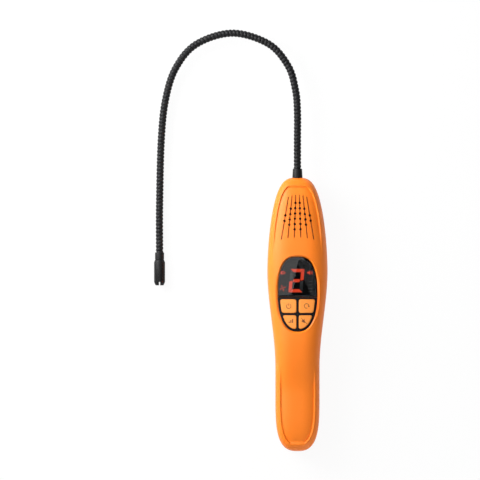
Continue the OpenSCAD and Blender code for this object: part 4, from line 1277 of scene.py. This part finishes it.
ARROW_DEG, HEAD_TIP, HEAD_BASE = (5, 290), 1.0, 0.1
x, y = key_centre("reset")
tip_x, base_y = x + SIGN_R, y + HEAD_BASE
head = [(tip_x, y - HEAD_TIP), (tip_x + HEAD_R, base_y), (tip_x - HEAD_R, base_y)]
printed("reset", strip(arc(x, y, *ARROW_DEG)) + [head])

STAIR_PITCH, STAIR_W, STAIR_H, STAIR_FOOT = 1.3, 0.8, 1.0, 1.4
x, y = key_centre("level")
stairs = [(STAIR_PITCH * (k - 2), STAIR_H * k) for k in (1, 2, 3)]
printed("level", [rect(x + at, y - STAIR_FOOT + high / 2, STAIR_W, high) for at, high in stairs])

STRIKE, STRIKE_LEFT = 2.0, 2.2
x, y = key_centre("mute")
strike = line_of((x - STRIKE_LEFT, y + STRIKE), (x + STRIKE, y - STRIKE))
printed("mute", [speaker(x, y, back=0.6, front=0.2, mouth=1.7)] + strip(strike))
print("legends:", len(KEYS), "signs")

# %% [markdown]
# ## The gooseneck
# The tube's path is a smooth curve through a few points, given as shares of the arch's span and
# height: straight up out of the collar, over the arch, and straight down to the tip, sinking from the
# collar's height to the bench on the way. The wound-tube tree sweeps it. The real winding is round
# wire, so a round crest and a narrow groove repeat once per pitch.

# %% Path and winding
NECK_D, NECK_PITCH, NECK_GROOVE, LEAD_D = 5.7, 2.77, 0.75, 1.8
ARCH_SPAN, ARCH_RISE, TIP_DROP = 104.5, 102.7, 63.4
COLLAR_LEN, COLLAR_D, COLLAR_IN_Y, COLLAR_FLOOR = 6.8, 7.1, HALF_LEN - 11.5, 2
FERRULE_D, FERRULE_LEN, FERRULE_FLOOR, CAP_D, CAP_LEN = 6.9, 5.5, 1, 8.35, 19.4
MOUTH_Y = HALF_LEN + COLLAR_LEN
NECK_LOW = COLLAR_IN_Y + COLLAR_FLOOR + SEAT_ROOM
TIP_TOP_Y = MOUTH_Y - TIP_DROP
NECK_END_Y = TIP_TOP_Y - FERRULE_LEN + FERRULE_FLOOR
TIP_Z = CAP_D / 2
ROUTE = [(0, 0), (0, 0.21), (0, 0.42), (0.014, 0.58), (0.067, 0.757), (0.21, 0.921), (0.472, 1),
         (0.733, 0.919), (0.883, 0.742), (0.957, 0.506), (0.988, 0.204)]
HELD, LEG_SHARE, LEG_HELD = 5, 0.45, 4
SINK_FROM, SINK_SPARE = 40, 90
PATH_STEPS, STRAIGHT_STOPS = 24, 5


def neck_path():
    stops = [(0, NECK_LOW), (0, MOUTH_Y - HELD)]
    stops += [(-ARCH_SPAN * a, MOUTH_Y + ARCH_RISE * b) for a, b in ROUTE]
    leg = (MOUTH_Y - TIP_DROP * LEG_SHARE, TIP_TOP_Y + LEG_HELD, NECK_END_Y)
    stops += [(-ARCH_SPAN, y) for y in leg]
    p = np.array(stops, float)
    p = np.vstack([2 * p[0] - p[1], p, 2 * p[-1] - p[-2]])
    line = []
    for i in range(1, len(p) - 2):
        a, b, c, d = p[i - 1:i + 3]
        for t in np.arange(PATH_STEPS) / PATH_STEPS:
            square = (2 * a - 5 * b + 4 * c - d) * t ** 2
            cube = (3 * b - a - 3 * c + d) * t ** 3
            line.append(0.5 * (2 * b + (c - a) * t + square + cube))
    line = np.vstack([line, p[-2]])
    run = np.concatenate([[0], np.cumsum(np.linalg.norm(np.diff(line, axis=0), axis=1))])
    z = NECK_Z + (TIP_Z - NECK_Z) * smooth((run - SINK_FROM) / (run[-1] - SINK_SPARE))
    return np.column_stack([line, z]), run


path, run = neck_path()
CUT = STRAIGHT_STOPS * PATH_STEPS
ROWS_PER_TURN, NECK_SIDES, CREST_ROOM = 10, 24, 0.02
LEAD_FROM_Y, LEAD_PAST, LEAD_SIDES, RISE_ROWS, ARCH_ROWS = 79.1, 2, 12, 60, 240


def wound(name, first, last):
    rows = round((run[last] - run[first]) / NECK_PITCH * ROWS_PER_TURN)
    return tube(name, path[first:last + 1], NECK_D / 2 - CREST_ROOM, rows, NECK_SIDES, NECK_COAT,
                NECK_GROOVE, NECK_PITCH, run[first])


neck_rise = wound("gooseneck_rise", 0, CUT)
neck_arch = wound("gooseneck_arch", CUT, len(path) - 1)
lead_path = np.vstack([[(0, LEAD_FROM_Y, NECK_Z)], path, [(-ARCH_SPAN, NECK_END_Y - LEAD_PAST, TIP_Z)]])
lead_rise = tube("sensor_lead_rise", lead_path[:CUT + 2], LEAD_D / 2, RISE_ROWS, LEAD_SIDES, SHEATH)
lead_arch = tube("sensor_lead_arch", lead_path[CUT + 1:], LEAD_D / 2, ARCH_ROWS, LEAD_SIDES, SHEATH)
print("gooseneck:", round(run[-1]), "mm long,", round(run[-1] / NECK_PITCH), "turns")

# %% [markdown]
# ## How the gooseneck is split
# The tube is two meshes that take the place of the CAD node. The nearly straight rise stays where it
# was made, with its transform baked in, and the arch with the hanging leg rides on the probe. The tip
# hangs lower than the collar. The two meet where both turn alike, and the winding's phase carries
# over, so the joint doesn't show. The sensor lead inside is split the same way.

# %% Split the tube between housing and probe
RISES = ((neck_rise, "gooseneck", "neck_winding"), (lead_rise, "sensor_lead", "lead_sheath"))
for piece, node_name, slot in RISES:
    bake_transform(piece)
    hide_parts(node_name)
placed(neck_arch, "probe", None, ["gooseneck"])
placed(lead_arch, "probe", None, ["sensor_lead"])

# %% [markdown]
# ## Collar, ferrule and cap
# The collar grips the tube where it leaves the head, the ferrule is crimped on its far end, and a
# slotted cap guards the sensor. All three are turned pieces: a closed profile goes round an axis, with
# the small broken edges that such mouldings have. A Screw modifier could turn them too, but the lathe
# helper of the case screws gives a plain mesh at once. The cap's slot is cut across its end.

# %% Turned pieces of the probe
LEAD_ROOM = 0.3
BORE_R, LEAD_BORE_R = NECK_D / 2 + SEAT_ROOM, LEAD_D / 2 + LEAD_ROOM
FLANGE_IN, FLANGE_R, FLANGE_T = 9, 5.5, 2
base_r, mouth_r, inside = COLLAR_BASE_D / 2, COLLAR_D / 2, HALF_LEN - COLLAR_IN_Y
flange, mouth = HALF_LEN - FLANGE_IN - COLLAR_IN_Y, inside + COLLAR_LEN
collar = turned("neck_collar_sleeve", [
    (0, LEAD_BORE_R), (0, base_r), (flange, base_r), (flange, FLANGE_R), (flange + FLANGE_T, FLANGE_R),
    (flange + FLANGE_T, base_r), (inside, base_r), (inside + 0.5, base_r - 0.02),
    (mouth - 0.5, mouth_r), (mouth - 0.15, mouth_r - 0.12), (mouth, mouth_r - 0.4), (mouth, BORE_R),
    (COLLAR_FLOOR, BORE_R), (COLLAR_FLOOR, LEAD_BORE_R)], (0, COLLAR_IN_Y, NECK_Z), (0, 1, 0))
placed(creased(collar), "housing", BLACK, ["neck_collar"])

SPIGOT_R, SPIGOT_LEN = 3.0, 8
r, spigot_end = FERRULE_D / 2, FERRULE_LEN + SPIGOT_LEN
floor_at = FERRULE_LEN - FERRULE_FLOOR + SEAT_ROOM
ferrule = turned("tip_ferrule_sleeve", [
    (0, BORE_R), (0, r - 0.35), (0.12, r - 0.12), (0.4, r), (FERRULE_LEN - 0.2, r), (FERRULE_LEN, r - 0.15),
    (FERRULE_LEN, SPIGOT_R), (spigot_end, SPIGOT_R), (spigot_end, LEAD_BORE_R),
    (floor_at, LEAD_BORE_R), (floor_at, BORE_R)], (-ARCH_SPAN, TIP_TOP_Y, TIP_Z), (0, -1, 0))
placed(creased(ferrule), "probe", BLACK, ["tip_ferrule"])

CAP_SHOULDER, CAP_NOSE, CAP_END_R, CAP_FLOOR, CAP_BORE_R = 1.9, 2.4, 3.0, 2.25, 3.2
CAP_SLOT, SLOT_DEPTH, SLOT_LOW_Z, SLOT_HIGH_Z = 1.0, 2.6, -5, 15
r, neck_r, nose, end = CAP_D / 2, FERRULE_D / 2, CAP_LEN - CAP_NOSE, CAP_LEN - CAP_FLOOR
cap_y = TIP_TOP_Y - FERRULE_LEN - SEAT_ROOM
cap = turned("tip_cap_guard", [
    (0, CAP_BORE_R), (0, neck_r - 0.1), (0.15, neck_r), (CAP_SHOULDER - 0.3, r - 0.12),
    (CAP_SHOULDER + 0.1, r), (nose - 0.2, r), (nose + 0.2, r - 0.15), (CAP_LEN - 0.3, CAP_END_R + 0.2),
    (CAP_LEN - 0.08, CAP_END_R - 0.1), (CAP_LEN, CAP_END_R - 0.4), (CAP_LEN, 0),
    (end, 0), (end, CAP_BORE_R)], (-ARCH_SPAN, cap_y, TIP_Z), (0, -1, 0))
slot_x, slot_low, slot_high = CAP_SLOT / 2, cap_y - CAP_LEN - PAST, cap_y - CAP_LEN + SLOT_DEPTH
cap_slot = block("cap_slot", (-ARCH_SPAN - slot_x, slot_low, SLOT_LOW_Z),
                 (-ARCH_SPAN + slot_x, slot_high, SLOT_HIGH_Z))
carved(cap, "DIFFERENCE", cap_slot)
placed(creased(cap), "cap", BLACK, ["tip_cap"])
print("probe: collar, ferrule and cap turned")

# %% [markdown]
# ## What stays as the frame made it
# Board, switches, sounder, cells and contacts are plain machine shapes, and the CAD solids are right
# as they are. They only need their finishes, which show when the door is slid off.

# %% Finishes for the inner pieces
INNER_FINISH = {
    STEEL: ["board_screws", "contact_plus", "contact_minus", "contact_bridge", "spring_left",
            "spring_right", "sensor_element"],
    COMPONENT: ["switch_power", "switch_reset", "switch_level", "switch_mute", "sounder",
                "sensor_driver", "controller_chip"],
    BOARD: ["circuit_board"], IVORY: ["lead_socket"], CELL: ["battery_left", "battery_right"]}
for finish, names in INNER_FINISH.items():
    for name in names:
        finished(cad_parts[name].data, finish)
print("inner pieces:", sum(len(names) for names in INNER_FINISH.values()))

# %% [markdown]
# ## Floor and world
# The detector lies on its back on a white bench. A bench lit to pure white would need more light than
# the plastic can take, so most of its tone is a glow that only the camera, reflections and glass see.
# The rest is plain paper, which takes a faint shadow. The world gives an even dim light and is darker
# still in reflections, like a dark studio round the bench.

# %% Floor and world
FLOOR, BENCH_LOW, BENCH_TOP = 8000.0, -20, -0.05
FLOOR_TONE, FLOOR_WHITE = 0.9, 0.93
WORLD_GLOW, WORLD_MIRRORED = 0.3, 0.04


def white_floor():
    finish = bpy.data.materials.new("white_bench")
    finish.use_nodes = True
    tree = finish.node_tree
    tree.nodes.clear()
    rays = tree.nodes.new("ShaderNodeLightPath").outputs
    paper = node(tree, "ShaderNodeBsdfDiffuse", [("Color", (FLOOR_TONE, FLOOR_TONE, FLOOR_TONE, 1))])
    white = node(tree, "ShaderNodeEmission", [("Color", (1, 1, 1, 1)), ("Strength", 1.0)])
    seen = rays["Is Camera Ray"]
    for ray in ("Is Glossy Ray", "Is Transmission Ray"):
        seen = math_node(tree, "MAXIMUM", seen, rays[ray])
    share = math_node(tree, "MULTIPLY", seen, FLOOR_WHITE)
    mix = node(tree, "ShaderNodeMixShader", [(0, share), (1, paper.outputs[0]), (2, white.outputs[0])])
    tree.links.new(mix.outputs[0], tree.nodes.new("ShaderNodeOutputMaterial").inputs[0])
    return finish


floor = block("bench_top", (-FLOOR, -FLOOR, BENCH_LOW), (FLOOR, FLOOR, BENCH_TOP))
floor.data.materials.append(white_floor())
world = bpy.data.worlds.new("studio")
world.use_nodes = True
sky = world.node_tree
sky.nodes["Background"].inputs["Color"].default_value = (0.97, 0.98, 1.0, 1)
mirrored = sky.nodes.new("ShaderNodeLightPath").outputs["Is Glossy Ray"]
glow = math_node(sky, "MULTIPLY_ADD", mirrored, WORLD_MIRRORED - WORLD_GLOW, WORLD_GLOW)
sky.links.new(glow, sky.nodes["Background"].inputs["Strength"])
bpy.context.scene.world = world
print("bench and studio world")

# %% [markdown]
# ## Lamps and camera
# A product studio lights such a thing with a few big soft lamps. The key lamp stands at the upper
# left, a narrow one on the left draws the rim's edges, and a low one near the tail on the right fills
# the shade. A long card overhead, turned a little, gives the window its slanting sheen. The camera
# looks straight down from far above, as the photograph does, so that the housing keeps its outline.

# %% Lamps and camera
MIDDLE = Vector((-43.5, 56.3, 12.0)) * MM
VIEW_W = 363.6 * MM
CAMERA_UP, SENSOR_W, CAMERA_FAR = 6.0, 36.0, 20.0
CARD_TURN = math.radians(12.9)


def soft_lamp(name, place, watts, size, size_y=None):
    lamp = bpy.data.lights.new(name, "AREA")
    lamp.shape = "RECTANGLE" if size_y else "SQUARE"
    lamp.size = size
    if size_y:
        lamp.size_y = size_y
    lamp.energy = watts
    holder = linked(name, lamp)
    holder.location = place
    holder.rotation_mode = "QUATERNION"
    holder.rotation_quaternion = (MIDDLE - holder.location).to_track_quat("-Z", "Y")
    holder.visible_camera = False
    return holder


soft_lamp("key_lamp", (-0.5, 0.42, 0.33), watts=6.3, size=0.45)
soft_lamp("side_lamp", (-0.52, 0.22, 0.36), watts=2.2, size=0.25, size_y=0.6)
soft_lamp("fill_lamp", (0.35, -0.72, 0.2), watts=2.0, size=0.5)
card = soft_lamp("window_card", (-0.445, 0.188, 1.1), watts=2.9, size=1.2, size_y=0.5)
card.rotation_mode = "XYZ"
card.rotation_euler = (0, 0, CARD_TURN)

camera = linked("camera", bpy.data.cameras.new("camera"))
camera.location = MIDDLE + Vector((0, 0, CAMERA_UP))
camera.data.sensor_width = SENSOR_W
camera.data.lens = SENSOR_W * CAMERA_UP / VIEW_W
camera.data.clip_end = CAMERA_FAR
bpy.context.scene.camera = camera
bpy.context.scene.view_settings.view_transform = "Standard"
print("camera:", round(camera.data.lens), "mm lens")
